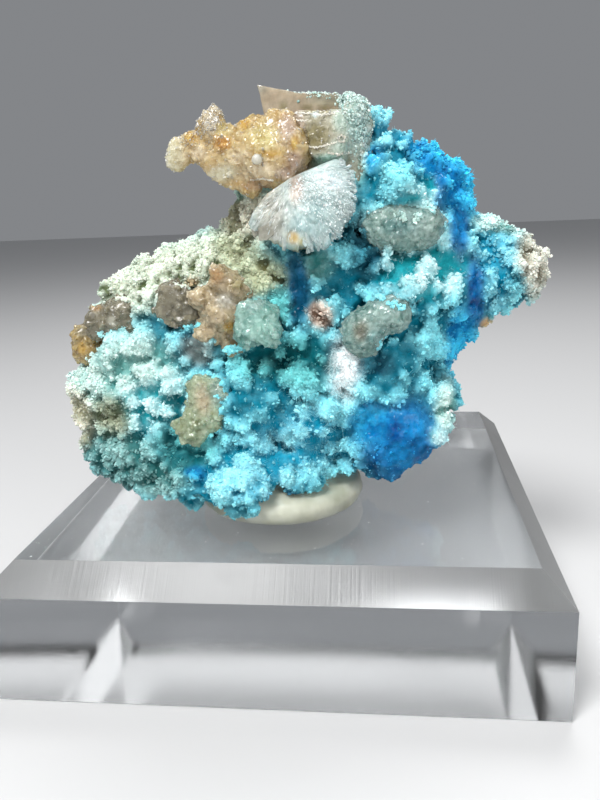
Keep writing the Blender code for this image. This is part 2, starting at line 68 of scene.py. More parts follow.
# Palettes: the colour deep in the hollows, and the colour of the tips. On the crust, the darker deep colour in the
# hollows is painted shade, and the paler tip colour is partly painted highlight and partly the crust's own frosted
# colour
PALETTES = {
    "cyan": ((0, 114, 136), (150, 236, 246)),
    "bright cyan": ((0, 138, 168), (174, 246, 254)),
    "pale cyan": ((24, 158, 168), (224, 255, 255)),
    "teal": ((0, 86, 92), (116, 208, 208)),
    # The dark teal of the rosette's shadow and of the hollow under the lower dome: painted shade
    "shade teal": ((0, 56, 74), (60, 140, 158)),
    "azure": ((0, 112, 172), (56, 206, 248)),
    "deep blue": ((0, 50, 116), (0, 146, 210)),
    "cleft blue": ((0, 52, 82), (0, 104, 150)),
    "mint cream": ((98, 108, 70), (230, 238, 220)),
    "olive cream": ((92, 90, 50), (196, 202, 168)),
    "beige sugar": ((146, 144, 116), (232, 230, 212)),
    "olive sugar": ((88, 94, 62), (192, 196, 170)),
    "aqua sugar": ((98, 156, 150), (222, 244, 236)),
    "sea green": ((40, 104, 102), (168, 212, 208)),
    "grey sugar": ((106, 116, 114), (186, 210, 208)),
    "white": ((202, 232, 236), (253, 255, 255)),
    "tan": ((150, 108, 62), (222, 186, 134)),
    "rosy": ((140, 112, 92), (228, 208, 192)),
    "quartz": ((136, 128, 106), (242, 242, 228)),
    "matrix": ((92, 88, 76), (206, 202, 188)),
    "stained matrix": ((60, 132, 142), (170, 214, 216)),
    "honey": ((180, 148, 88), (228, 208, 162)),
    "pale honey": ((200, 180, 114), (240, 230, 178)),
    "gold": ((186, 138, 46), (232, 198, 112)),
    "orange": ((174, 116, 34), (214, 162, 76)),
    "cream blade": ((206, 200, 166), (246, 246, 228)),
    "beige blade": ((196, 176, 140), (246, 232, 204)),
    "tan blade": ((160, 124, 84), (214, 184, 146)),
    "clear sparkle": ((176, 160, 130), (250, 244, 226)),
    "smoke": ((136, 130, 104), (206, 202, 180)),
    "olive smoke": ((112, 102, 58), (180, 170, 126)),
    "mint glass": ((146, 176, 160), (216, 234, 222)),
    "pink glass": ((186, 168, 140), (228, 214, 190)),
    "silver": ((150, 172, 170), (220, 236, 232)),
    "shaded silver": ((122, 156, 156), (190, 214, 212)),
    "rosy silver": ((146, 140, 128), (212, 212, 198)),
    "rosy brown": ((150, 132, 98), (220, 204, 172)),
    "grey brown": ((98, 92, 74), (168, 162, 140)),
    "glass green": ((112, 168, 156), (196, 232, 220)),
    "olive green": ((146, 154, 114), (206, 222, 192)),
    "brown amber": ((150, 118, 60), (226, 208, 156)),
    "frosted grey": ((92, 132, 124), (204, 230, 220)),
}

# The crust's patches: X, Z, half width, half height, palette, habit
CRUST_PATCHES = {
    "cream_far": (-14.2, 35.4, 3.4, 2.6, "mint cream", "globule"),
    "cream_left": (-10.2, 36.8, 3.8, 2.8, "mint cream", "globule"),
    "cream_middle": (-6.6, 37.6, 3.2, 2.6, "mint cream", "globule"),
    "cream_top": (-3.6, 38.2, 2.4, 2.2, "olive cream", "globule"),
    "cream_right": (-1.0, 36.0, 2.2, 1.8, "olive cream", "globule"),
    "cream_tan": (-7.4, 35.7, 0.7, 0.5, "tan", "sugar"),
    "neck": (-2.2, 41.6, 2.6, 2.6, "beige sugar", "sugar"),
    "neck_top": (-2.6, 43.4, 1.2, 0.8, "aqua sugar", "sugar"),
    "left_rim_top": (-18.6, 27.4, 2.4, 2.2, "aqua sugar", "sugar"),
    "left_rim": (-20.4, 22.8, 1.8, 3.6, "beige sugar", "sugar"),
    "olive_sugar": (-16.8, 22.8, 2.0, 2.4, "olive sugar", "sugar"),
    "left_lobe": (-14.4, 27.6, 4.0, 3.2, "aqua sugar", "tuft"),
    "left_middle": (-12.8, 24.4, 3.2, 2.8, "pale cyan", "tuft"),
    "left_low": (-16.2, 18.6, 3.4, 2.8, "sea green", "sugar"),
    "left_bottom": (-13.0, 16.4, 3.4, 1.8, "sea green", "sugar"),
    "grey_hollow": (-7.6, 29.4, 1.5, 1.3, "grey sugar", "tuft"),
    "lower_left": (-9.6, 19.2, 2.8, 2.8, "teal", "tuft"),
    "lower_azure": (-8.6, 16.8, 1.1, 0.8, "azure", "tuft"),
    "teal_shadow": (0.8, 27.8, 4.2, 2.6, "teal", "tuft"),
    "main_middle": (-1.6, 24.2, 3.6, 2.4, "cyan", "tuft"),
    "bright_web": (1.4, 20.6, 4.0, 3.0, "bright cyan", "web"),
    "foot": (-3.6, 16.0, 4.6, 2.0, "bright cyan", "tuft"),
    "foot_hollow": (-0.2, 14.4, 1.6, 0.7, "cleft blue", "tuft"),
    "blue_cleft": (2.4, 35.2, 1.0, 2.8, "cleft blue", "smooth"),
    "cleft_edge": (0.6, 33.4, 1.2, 1.6, "teal", "tuft"),
    "rosy_knob": (4.3, 32.4, 0.9, 1.1, "rosy", "sugar"),
    "aqua_knob": (4.4, 37.0, 1.4, 1.3, "sea green", "smooth"),
    "rosette_shade": (8.8, 38.6, 1.4, 2.6, "shade teal", "tuft"),
    "upper_middle": (11.4, 44.2, 3.2, 2.6, "cyan", "tuft"),
    "upper_blue": (9.4, 45.8, 0.8, 1.2, "azure", "smooth"),
    "crest": (10.6, 48.0, 3.6, 1.8, "bright cyan", "tuft"),
    "crest_mint": (8.2, 46.4, 0.8, 2.6, "aqua sugar", "sugar"),
    "azure_ridge": (14.2, 46.0, 2.2, 1.8, "azure", "sugar"),
    "azure_side": (17.0, 43.6, 1.8, 2.6, "azure", "tuft"),
    "blue_stripe_top": (15.2, 43.6, 0.7, 2.0, "deep blue", "smooth"),
    "blue_stripe_middle": (16.8, 39.6, 0.7, 2.4, "deep blue", "smooth"),
    "blue_stripe_low": (18.2, 34.2, 0.8, 2.8, "deep blue", "smooth"),
    "azure_edge": (17.0, 29.6, 1.2, 2.6, "azure", "tuft"),
    "ledge": (13.2, 42.8, 2.0, 1.2, "pale cyan", "tuft"),
    "middle_fluff": (13.6, 36.4, 3.2, 2.6, "pale cyan", "tuft"),
    "right_middle": (13.2, 30.6, 2.6, 2.6, "cyan", "tuft"),
    "dome_rim": (11.6, 40.0, 3.2, 1.8, "frosted grey", "sugar"),
    # dome_hollow: painted shade under the lower dome, in the dark teal
    "dome_hollow": (9.4, 27.6, 1.8, 1.2, "shade teal", "tuft"),
    "white_patch": (6.5, 27.3, 1.5, 2.6, "white", "tuft"),
    "above_deep_blue": (9.6, 25.4, 2.4, 1.2, "cyan", "tuft"),
    "deep_blue": (11.6, 20.8, 3.0, 3.0, "deep blue", "smooth"),
    "deep_blue_low": (12.0, 18.2, 3.6, 2.4, "deep blue", "smooth"),
    "deep_blue_light": (8.9, 21.8, 1.9, 1.9, "azure", "smooth"),
    "white_crust": (15.8, 23.4, 0.9, 2.2, "aqua sugar", "tuft"),
    "white_crust_low": (15.0, 20.4, 1.0, 0.8, "pale cyan", "tuft"),
    "right_azure": (20.0, 36.0, 1.6, 3.0, "bright cyan", "sugar"),
    "right_teal": (21.8, 34.6, 1.0, 1.8, "cyan", "sugar"),
    "right_druse": (23.6, 36.6, 2.0, 3.0, "quartz", "sugar"),
    "right_top": (20.8, 40.0, 2.4, 0.9, "aqua sugar", "sugar"),
    "tan_edge": (19.3, 31.2, 0.5, 0.7, "tan", "sugar"),
    "tan_edge_low": (17.4, 27.2, 0.5, 0.6, "tan", "sugar"),
}
HABITS = ("tuft", "globule", "sugar", "web", "smooth")


CRYSTAL_NODES = (
    "frosted_crystal_head", "smoky_crystal_spray", "pale_green_crystals", "smoky_wall_crystal",
    "smoky_corner_crystal", "amber_corner_crystal", "green_blade_crystal", "grey_dome_lower", "grey_dome_upper",
)


# Random fields

def lattice(cells, seed):
    """Three repeatable numbers from 0 to 1 for each whole-numbered cell."""
    keys = cells.astype(np.int64).astype(np.uint64)
    mixed = keys[..., 0] * np.uint64(0x9E3779B97F4A7C15)
    mixed ^= keys[..., 1] * np.uint64(0xC2B2AE3D27D4EB4F)
    mixed ^= keys[..., 2] * np.uint64(0x165667B19E3779F9)
    mixed ^= np.uint64(seed * 0x27D4EB2F165667C5 % 2**64)
    numbers = np.empty(cells.shape)
    for axis in range(3):
        mixed ^= mixed >> np.uint64(33)
        mixed *= np.uint64(0xFF51AFD7ED558CCD)
        mixed ^= mixed >> np.uint64(29)
        mixed *= np.uint64(0xC4CEB9FE1A85EC53)
        numbers[..., axis] = (mixed >> np.uint64(40)) / float(2**24)
    return numbers


def smooth_noise(points, size, seed):
    """Smooth noise from -1 to 1 with hills about this many millimetres apart."""
    scaled = points / size
    low = np.floor(scaled)
    share = scaled - low
    share = share * share * (3.0 - 2.0 * share)
    total = np.zeros(len(points))
    for corner in np.ndindex(2, 2, 2):
        step = np.array(corner)
        weight = np.prod(np.where(step, share, 1.0 - share), axis=1)
        total += weight * lattice(low + step, seed)[:, 0]
    return total * 2.0 - 1.0


def layered_noise(points, size, seed, layers=3):
    """Noise whose layers halve in size and strength, from about -1 to 1."""
    total = np.zeros(len(points))
    for layer in range(layers):
        total += smooth_noise(points, size / 2**layer, seed + layer) / 2**layer
    return total / (2.0 - 2.0 ** (1 - layers))


def mosaic(points, size, seed):
    """A random mosaic: distance to each point's nearest seed, the way from it, and its own numbers."""
    scaled = points / size
    low = np.floor(scaled)
    first = np.full(len(points), np.inf)
    away = np.zeros_like(scaled)
    numbers = np.zeros_like(scaled)
    for corner in np.ndindex(3, 3, 3):
        cell = low + np.array(corner) - 1
        chance = lattice(cell, seed)
        gap = scaled - cell - chance
        distance = np.linalg.norm(gap, axis=1)
        nearer = distance < first
        first = np.where(nearer, distance, first)
        away[nearer] = gap[nearer]
        numbers[nearer] = chance[nearer]
    return first, away, numbers


def domes(points, size, seed):
    """Rounded humps packed side by side, from 0 in the grooves to 1 on top."""
    first, _, _ = mosaic(points, size, seed)
    return np.clip(1.0 - (first / 0.72) ** 2, 0.0, 1.0)


def pits(points, size, seed, share):
    """Scattered round hollows, 1 at their centres, in this share of a mosaic's cells."""
    first, _, numbers = mosaic(points, size, seed)
    return (1.0 - eased(0.08, 0.4, first)) * (numbers[:, 2] < share)


def facets(points, size, seed):
    """Flat facets that lean at random, from about -1 to 1."""
    _, away, numbers = mosaic(points, size, seed)
    lean = numbers - 0.5
    lean /= np.linalg.norm(lean, axis=1, keepdims=True) + 1e-9
    return np.sum(away * lean, axis=1) * 1.3 + (numbers[:, 1] - 0.5)


def eased(low, high, values):
    """A smooth step from 0 at low to 1 at high."""
    share = np.clip((values - low) / (high - low), 0.0, 1.0)
    return share * share * (3.0 - 2.0 * share)


# Patches of colour and habit

def front_places(points):
    """Points slid along the camera's rays to the front plane, as X and Z."""
    rays = points - EYE
    reach = (FRONT_PLANE_Y - EYE[1]) / rays[:, 1]
    return EYE[0] + rays[:, 0] * reach, EYE[2] + rays[:, 2] * reach


def patch_shares(points, patches, waver=0.55, plain=0.03):
    """How much each patch, and the plain rest, cover each point."""
    x, z = front_places(points)
    x = x + waver * layered_noise(points, 2.2, 3)
    z = z + waver * layered_noise(points, 2.2, 5)
    shares = np.full((len(points), len(patches) + 1), plain)
    for column, (centre_x, centre_z, half_width, half_height, *_) in enumerate(patches.values()):
        away = ((x - centre_x) / half_width) ** 2 + ((z - centre_z) / half_height) ** 2
        shares[:, column] = np.exp(-2.6 * away)
    return shares / shares.sum(axis=1, keepdims=True)


def crust_shares(points):
    """The crust's shares: its patches and plain cyan in front, bare and stained matrix behind."""
    hidden = eased(-5.5, -1.5, points[:, 1] + 1.2 * layered_noise(points, 4.0, 8))
    stain = eased(0.0, 0.5, layered_noise(points, 6.0, 9))
    front = patch_shares(points, CRUST_PATCHES) * (1.0 - hidden)[:, None]
    return np.column_stack((front, hidden * (1.0 - stain), hidden * stain)), hidden


def palette_colours(names):
    """Deep and tip colours of palettes, in linear light."""
    deep, tip = zip(*(PALETTES[name] for name in names))
    return np.array([srgb(*colour) for colour in deep]), np.array([srgb(*colour) for colour in tip])


CRUST_PALETTES = [patch[4] for patch in CRUST_PATCHES.values()] + ["cyan", "matrix", "stained matrix"]
CRUST_HABITS = [patch[5] for patch in CRUST_PATCHES.values()] + ["tuft", "sugar", "sugar"]


def habit_shares(shares):
    """How much of each growth habit there is at each point."""
    return {
        habit: shares[:, [i for i, other in enumerate(CRUST_HABITS) if other == habit]].sum(axis=1)
        for habit in HABITS
    }


def tinted(shares, palettes, height):
    """Colours mixed from palettes, by height from 0 in the hollows to 1 at the tips."""
    deep, tip = palette_colours(palettes)
    height = np.clip(height, 0.0, 1.0)[:, None]
    return (shares @ deep) * (1.0 - height) + (shares @ tip) * height


# Meshes and arrays

def mesh_arrays(mesh):
    """Places in millimetres, vertex normals and triangles of a mesh."""
    places = np.empty(len(mesh.vertices) * 3, np.float32)
    mesh.vertices.foreach_get("co", places)
    normals = np.empty(len(mesh.vertices) * 3, np.float32)
    mesh.vertex_normals.foreach_get("vector", normals)
    mesh.calc_loop_triangles()
    triangles = np.empty(len(mesh.loop_triangles) * 3, np.int32)
    mesh.loop_triangles.foreach_get("vertices", triangles)
    return places.reshape(-1, 3) / MM, normals.reshape(-1, 3).astype(float), triangles.reshape(-1, 3)


def object_from_arrays(name, places, faces, material=None, tint=None, smooth=False):
    """A mesh object from places in millimetres and faces that all have the same number of corners."""
    mesh = bpy.data.meshes.new(name)
    corners = faces.shape[1]
    mesh.vertices.add(len(places))
    mesh.vertices.foreach_set("co", (places * MM).astype(np.float32).ravel())
    mesh.loops.add(faces.size)
    mesh.loops.foreach_set("vertex_index", faces.astype(np.int32).ravel())
    mesh.polygons.add(len(faces))
    mesh.polygons.foreach_set("loop_start", np.arange(0, faces.size, corners, dtype=np.int32))
    mesh.update(calc_edges=True)
    if tint is not None:
        layer = mesh.color_attributes.new("Tint", "FLOAT_COLOR", "POINT")
        colours = np.ones((len(tint), 4), np.float32)
        colours[:, :3] = np.clip(tint, 0.0, 1.0)
        layer.data.foreach_set("color", colours.ravel())
    if material:
        mesh.materials.append(material)
    if smooth:
        mesh.shade_smooth()
    else:
        mesh.shade_flat()
    made = bpy.data.objects.new(name, mesh)
    bpy.context.scene.collection.objects.link(made)
    return made


def joined(*bodies):
    """Places and triangles of several bodies as one pair of arrays."""
    places, faces, start = [], [], 0
    for body_places, body_faces in bodies:
        places.append(body_places)
        faces.append(body_faces + start)
        start += len(body_places)
    return np.vstack(places), np.vstack(faces)


def one_skin(places, faces, voxel, keep=1.0, keep_weights=None):
    """One closed skin round overlapping bodies, thinned where the weights are high."""
    work = object_from_arrays("work", places, faces)
    remesh = work.modifiers.new("skin", "REMESH")
    remesh.mode = "VOXEL"
    remesh.voxel_size = voxel * MM
    places, normals, triangles = evaluated_arrays(work)
    if keep < 1.0:
        work = object_from_arrays("work", places, triangles)
        thin = work.modifiers.new("thin", "DECIMATE")
        thin.ratio = keep
        if keep_weights:
            group = work.vertex_groups.new(name="thin")
            for index, weight in enumerate(np.clip(keep_weights(places), 0.0, 1.0)):
                group.add((index,), float(weight), "REPLACE")
            thin.vertex_group = "thin"
        places, normals, triangles = evaluated_arrays(work)
    return places, normals, triangles


def evaluated_arrays(work):
    """Arrays of a scratch object with its modifiers applied; the object goes away."""
    graph = bpy.context.evaluated_depsgraph_get()
    mesh = bpy.data.meshes.new_from_object(work.evaluated_get(graph))
    arrays = mesh_arrays(mesh)
    bpy.data.objects.remove(work)
    bpy.data.meshes.remove(mesh)
    return arrays


def node_arrays(node):
    """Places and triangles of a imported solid."""
    places, _, triangles = mesh_arrays(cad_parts[node].data)
    return places, triangles


def grown_skin(node, voxel, grow):
    """Arrays of a solid, remeshed finely and grown a little over its clearance."""
    places, normals, faces = one_skin(*node_arrays(node), voxel)
    return one_skin(places + normals * grow, faces, voxel)


def ride_root(made, slot, *nodes):
    """Fixes a piece to the part and hides the solids it stands for; the slot is not used."""
    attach(made, "root")
    if nodes:
        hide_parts(*nodes)
    return made


# Grains

def ball_shape(subdivisions):
    """A ball of radius 1."""
    form = bmesh.new()
    bmesh.ops.create_icosphere(form, subdivisions=subdivisions, radius=1.0)
    mesh = bpy.data.meshes.new("shape")
    form.to_mesh(mesh)
    form.free()
    places, _, triangles = mesh_arrays(mesh)
    bpy.data.meshes.remove(mesh)
    return places * MM, triangles


def cube_shape():
    """A cube of half side 0.75."""
    places = np.array([(x, y, z) for x in (-1, 1) for y in (-1, 1) for z in (-1, 1)], float) * 0.75
    quads = [(0, 1, 3, 2), (4, 6, 7, 5), (0, 4, 5, 1), (2, 3, 7, 6), (0, 2, 6, 4), (1, 5, 7, 3)]
    return places, np.array([(a, b, c) for a, b, c, _ in quads] + [(a, c, d) for a, _, c, d in quads])


def eight_sided_shape():
    """An octahedron of radius 1."""
    places = np.array([(1, 0, 0), (0, 1, 0), (-1, 0, 0), (0, -1, 0), (0, 0, 1), (0, 0, -1)], float)
    upper = [(i, (i + 1) % 4, 4) for i in range(4)]
    lower = [((i + 1) % 4, i, 5) for i in range(4)]
    return places, np.array(upper + lower)


def spike_shape():
    """A slender three-sided spike of length 1 that grows from the origin along +Z."""
    turns = np.radians((0.0, 120.0, 240.0))
    foot = np.column_stack((0.16 * np.cos(turns), 0.16 * np.sin(turns), np.zeros(3)))
    return np.vstack((foot, (0.0, 0.0, 1.0))), np.array([(0, 2, 1), (0, 1, 3), (1, 2, 3), (2, 0, 3)])


def blade_shape():
    """A thin blade that grows from the origin along +Z, 1 long, 0.5 wide, with a chisel end."""
    outline = [(-0.10, 0.0), (-0.22, 0.55), (-0.20, 0.82), (0.02, 1.0), (0.24, 0.78), (0.22, 0.5), (0.10, 0.0)]
    count = len(outline)
    front = [(x, -0.05, z) for x, z in outline]
    back = [(x, 0.05, z) for x, z in outline]
    places = np.array(front + back + [(0.0, -0.1, 0.5), (0.0, 0.1, 0.5)])
    faces = []
    for i in range(count):
        j = (i + 1) % count
        faces += [(i, j, 2 * count), (count + j, count + i, 2 * count + 1)]
        faces += [(i, count + i, j), (j, count + i, count + j)]
    return places, np.array(faces)


def surface_sites(places, faces, weights, count, chance):
    """Random sites on a mesh, denser where the point weights are higher: places, normals, nearest point."""
    a, b, c = (places[faces[:, k]] for k in range(3))
    crosses = np.cross(b - a, c - a)
    odds = np.linalg.norm(crosses, axis=1) * weights[faces].mean(axis=1)
    chosen = chance.choice(len(faces), size=count, p=odds / odds.sum())
    u, v = chance.random((2, count, 1))
    folded = u + v > 1.0
    u, v = np.where(folded, 1.0 - u, u), np.where(folded, 1.0 - v, v)
    sites = a[chosen] + (b[chosen] - a[chosen]) * u + (c[chosen] - a[chosen]) * v
    normals = crosses[chosen] / (np.linalg.norm(crosses[chosen], axis=1, keepdims=True) + 1e-12)
    return sites, normals, faces[chosen, 0]


def random_turns(count, chance):
    """Random rotation matrices."""
    w, x, y, z = (chance.normal(size=(4, count)) / 1.0)
    length = np.sqrt(w * w + x * x + y * y + z * z)
    w, x, y, z = w / length, x / length, y / length, z / length
    rows = [
        (1 - 2 * (y * y + z * z), 2 * (x * y - w * z), 2 * (x * z + w * y)),
        (2 * (x * y + w * z), 1 - 2 * (x * x + z * z), 2 * (y * z - w * x)),
        (2 * (x * z - w * y), 2 * (y * z + w * x), 1 - 2 * (x * x + y * y)),
    ]
    return np.stack([np.stack(row, axis=1) for row in rows], axis=1)


def turns_towards(axes, chance, spin_range=math.tau):
    """Rotations that take +Z to each axis, with a random spin."""
    axes = axes / (np.linalg.norm(axes, axis=1, keepdims=True) + 1e-12)
    helper = np.where(np.abs(axes[:, 1:2]) < 0.9, (0.0, 1.0, 0.0), (1.0, 0.0, 0.0))
    side = np.cross(helper, axes)
    side /= np.linalg.norm(side, axis=1, keepdims=True)
    other = np.cross(axes, side)
    spin = (chance.random(len(axes))[:, None] - 0.5) * spin_range
    first = side * np.cos(spin) + other * np.sin(spin)
    second = np.cross(axes, first)
    return np.stack((first, second, axes), axis=2)


def stamped(shape, centres, scales, turns, chance, wobble=0.12):
    """Copies of a shape at the centres, scaled, turned and made a little irregular."""
    base, triangles = shape
    count = len(centres)
    bodies = base * (1.0 + chance.normal(scale=wobble, size=(count, len(base), 1)))
    bodies = bodies * scales[:, None, :]
    places = np.einsum("nij,nkj->nki", turns, bodies) + centres[:, None, :]
    faces = triangles[None] + (np.arange(count) * len(base))[:, None, None]
    return places.reshape(-1, 3), faces.reshape(-1, 3)


def grain_piece(name, shape, centres, scales, turns, tints, material, slot, smooth=False, wobble=0.12):
    """One joined mesh of grains, each in its own tint."""
    chance = np.random.default_rng(len(centres))
    places, faces = stamped(shape, centres, scales, turns, chance, wobble)
    places[:, 2] = np.maximum(places[:, 2], LOWEST_CRUST)
    tints = np.repeat(tints, len(shape[0]), axis=0)
    return ride_root(object_from_arrays(name, places, faces, material, tints, smooth), slot)


# Materials

def new_material(name, **values):
    """A Principled material with constant values set on the shader's own sockets."""
    material = bpy.data.materials.new(name)
    material.use_nodes = True
    shader = material.node_tree.nodes["Principled BSDF"]
    for socket, value in values.items():
        shader.inputs[socket.replace("_", " ")].default_value = value
    return material, material.node_tree, shader


def noise_node(tree, scale, detail=3.0, roughness=0.55, distortion=0.0, stretch=(1.0, 1.0, 1.0)):
    """Noise in object space, its scale in hills per metre."""
    place = tree.nodes.new("ShaderNodeTexCoord")
    mapping = tree.nodes.new("ShaderNodeMapping")
    mapping.inputs["Scale"].default_value = stretch
    noise = tree.nodes.new("ShaderNodeTexNoise")
    noise.inputs["Scale"].default_value = scale
    noise.inputs["Detail"].default_value = detail
    noise.inputs["Roughness"].default_value = roughness
    noise.inputs["Distortion"].default_value = distortion
    tree.links.new(place.outputs["Object"], mapping.inputs["Vector"])
    tree.links.new(mapping.outputs["Vector"], noise.inputs["Vector"])
    return noise.outputs["Fac"]


def mix_node(tree, kind, share, first, second):
    """A colour mix of sockets, numbers or linear colours."""
    mix = tree.nodes.new("ShaderNodeMix")
    mix.data_type = "RGBA"
    mix.blend_type = kind
    for socket, value in ((mix.inputs[0], share), (mix.inputs[6], first), (mix.inputs[7], second)):
        if isinstance(value, bpy.types.NodeSocket):
            tree.links.new(value, socket)
        elif isinstance(value, (int, float)):
            socket.default_value = value
        else:
            socket.default_value = (*value, 1.0)
    return mix.outputs[2]


def math_node(tree, kind, first, second=None):
    """A sum, product or comparison of sockets and numbers."""
    node = tree.nodes.new("ShaderNodeMath")
    node.operation = kind
    for socket, value in zip(node.inputs, (first, second)):
        if isinstance(value, bpy.types.NodeSocket):
            tree.links.new(value, socket)
        elif value is not None:
            socket.default_value = value
    return node.outputs["Value"]


def range_node(tree, source, low, high, bottom=0.0, top=1.0):
    """The source's values from low to high mapped to bottom to top."""
    ramp = tree.nodes.new("ShaderNodeMapRange")
    ramp.inputs["From Min"].default_value = low
    ramp.inputs["From Max"].default_value = high
    ramp.inputs["To Min"].default_value = bottom
    ramp.inputs["To Max"].default_value = top
    tree.links.new(source, ramp.inputs["Value"])
    return ramp.outputs["Result"]


def add_bump(tree, shader, source, strength, distance):
    """Fine relief from a height source, its distance in millimetres."""
    bump = tree.nodes.new("ShaderNodeBump")
    bump.inputs["Strength"].default_value = strength
    bump.inputs["Distance"].default_value = distance * MM
    tree.links.new(source, bump.inputs["Height"])
    tree.links.new(bump.outputs["Normal"], shader.inputs["Normal"])


def tinted_material(name, cloud=(0.84, 1.12), speck=(0.86, 1.14), bump=(7000.0, 0.5, 0.06), **values):
    """A material in the mesh's own tints, broken up by two sizes of noise, with fine relief."""
    material, tree, shader = new_material(name, **values)
    tint = tree.nodes.new("ShaderNodeAttribute")
    tint.attribute_name = "Tint"
    clouds = range_node(tree, noise_node(tree, 900.0), 0.3, 0.7, *cloud)
    specks = range_node(tree, noise_node(tree, 5200.0, 2.0), 0.35, 0.7, *speck)
    both = mix_node(tree, "MULTIPLY", 1.0, clouds, specks)
    tree.links.new(mix_node(tree, "MULTIPLY", 1.0, tint.outputs["Color"], both), shader.inputs["Base Color"])
    scale, strength, distance = bump
    add_bump(tree, shader, noise_node(tree, scale, 3.0), strength, distance)
    return material


# The crust

def clouds_of_balls(places, faces, weights, count, radius, spread, children, child_radius, chance):
    """Clusters of balls spread over a surface."""
    sites, normals, _ = surface_sites(places, faces, weights, count, chance)
    return clouds_at(sites, normals, radius, spread, children, child_radius, chance)


def clouds_at(sites, normals, radius, spread, children, child_radius, chance):
    """A cluster at each site: a big ball half sunk in the surface, and smaller ones over its outer side."""
    count = len(sites)
    sizes = chance.uniform(*radius, size=(count, 1))
    centres = sites + normals * sizes * chance.uniform(*spread, size=(count, 1))
    ways = chance.normal(size=(count * children, 3))
    outward = np.repeat(normals, children, axis=0)
    ways /= np.linalg.norm(ways, axis=1, keepdims=True)
    ways += outward * 0.9
    ways /= np.linalg.norm(ways, axis=1, keepdims=True)
    child_sizes = chance.uniform(*child_radius, size=(count * children, 1))
    child_centres = np.repeat(centres, children, axis=0) + ways * np.repeat(sizes, children, axis=0) * 0.95
    return (centres, sizes), (child_centres, child_sizes)


def ball_bodies(centres, sizes, chance):
    """Slightly squashed balls as places and triangles."""
    count = len(centres)
    scales = sizes * chance.uniform(0.75, 1.25, size=(count, 3))
    return stamped(ball_shape(1), centres, scales, random_turns(count, chance), chance, 0.06)


def block_bodies(centres, sizes, chance):
    """Small turned blocks as places and triangles."""
    count = len(centres)
    scales = sizes * chance.uniform(0.7, 1.3, size=(count, 3))
    return stamped(cube_shape(), centres, scales, random_turns(count, chance), chance, 0.05)


def near_crystals(places):
    """How close places are to a crystal, from 0 at 1.4 mm away to 1 where they touch."""
    bodies = [node_arrays(node) for node in CRYSTAL_NODES]
    spots, faces = joined(*bodies)
    tree = BVHTree.FromPolygons(spots.tolist(), faces.tolist())
    away = np.array([tree.find_nearest(place)[3] for place in places.tolist()])
    return 1.0 - eased(0.4, 1.4, away)


def clinging_sites(base, faces, count, reach, chance):
    """Sites on the crystals' flanks, denser the closer the crust is."""
    tree = BVHTree.FromPolygons(base.tolist(), faces.tolist())
    spots, triangles = joined(*(node_arrays(node) for node in CRYSTAL_NODES))
    sites, normals, _ = surface_sites(spots, triangles, np.ones(len(spots)), count * 8, chance)
    away = np.array([tree.find_nearest(site)[3] for site in sites.tolist()])
    kept = np.flatnonzero((away < reach * chance.random(len(away))) & (normals[:, 1] < 0.5))[:count]
    return sites[kept], normals[kept]


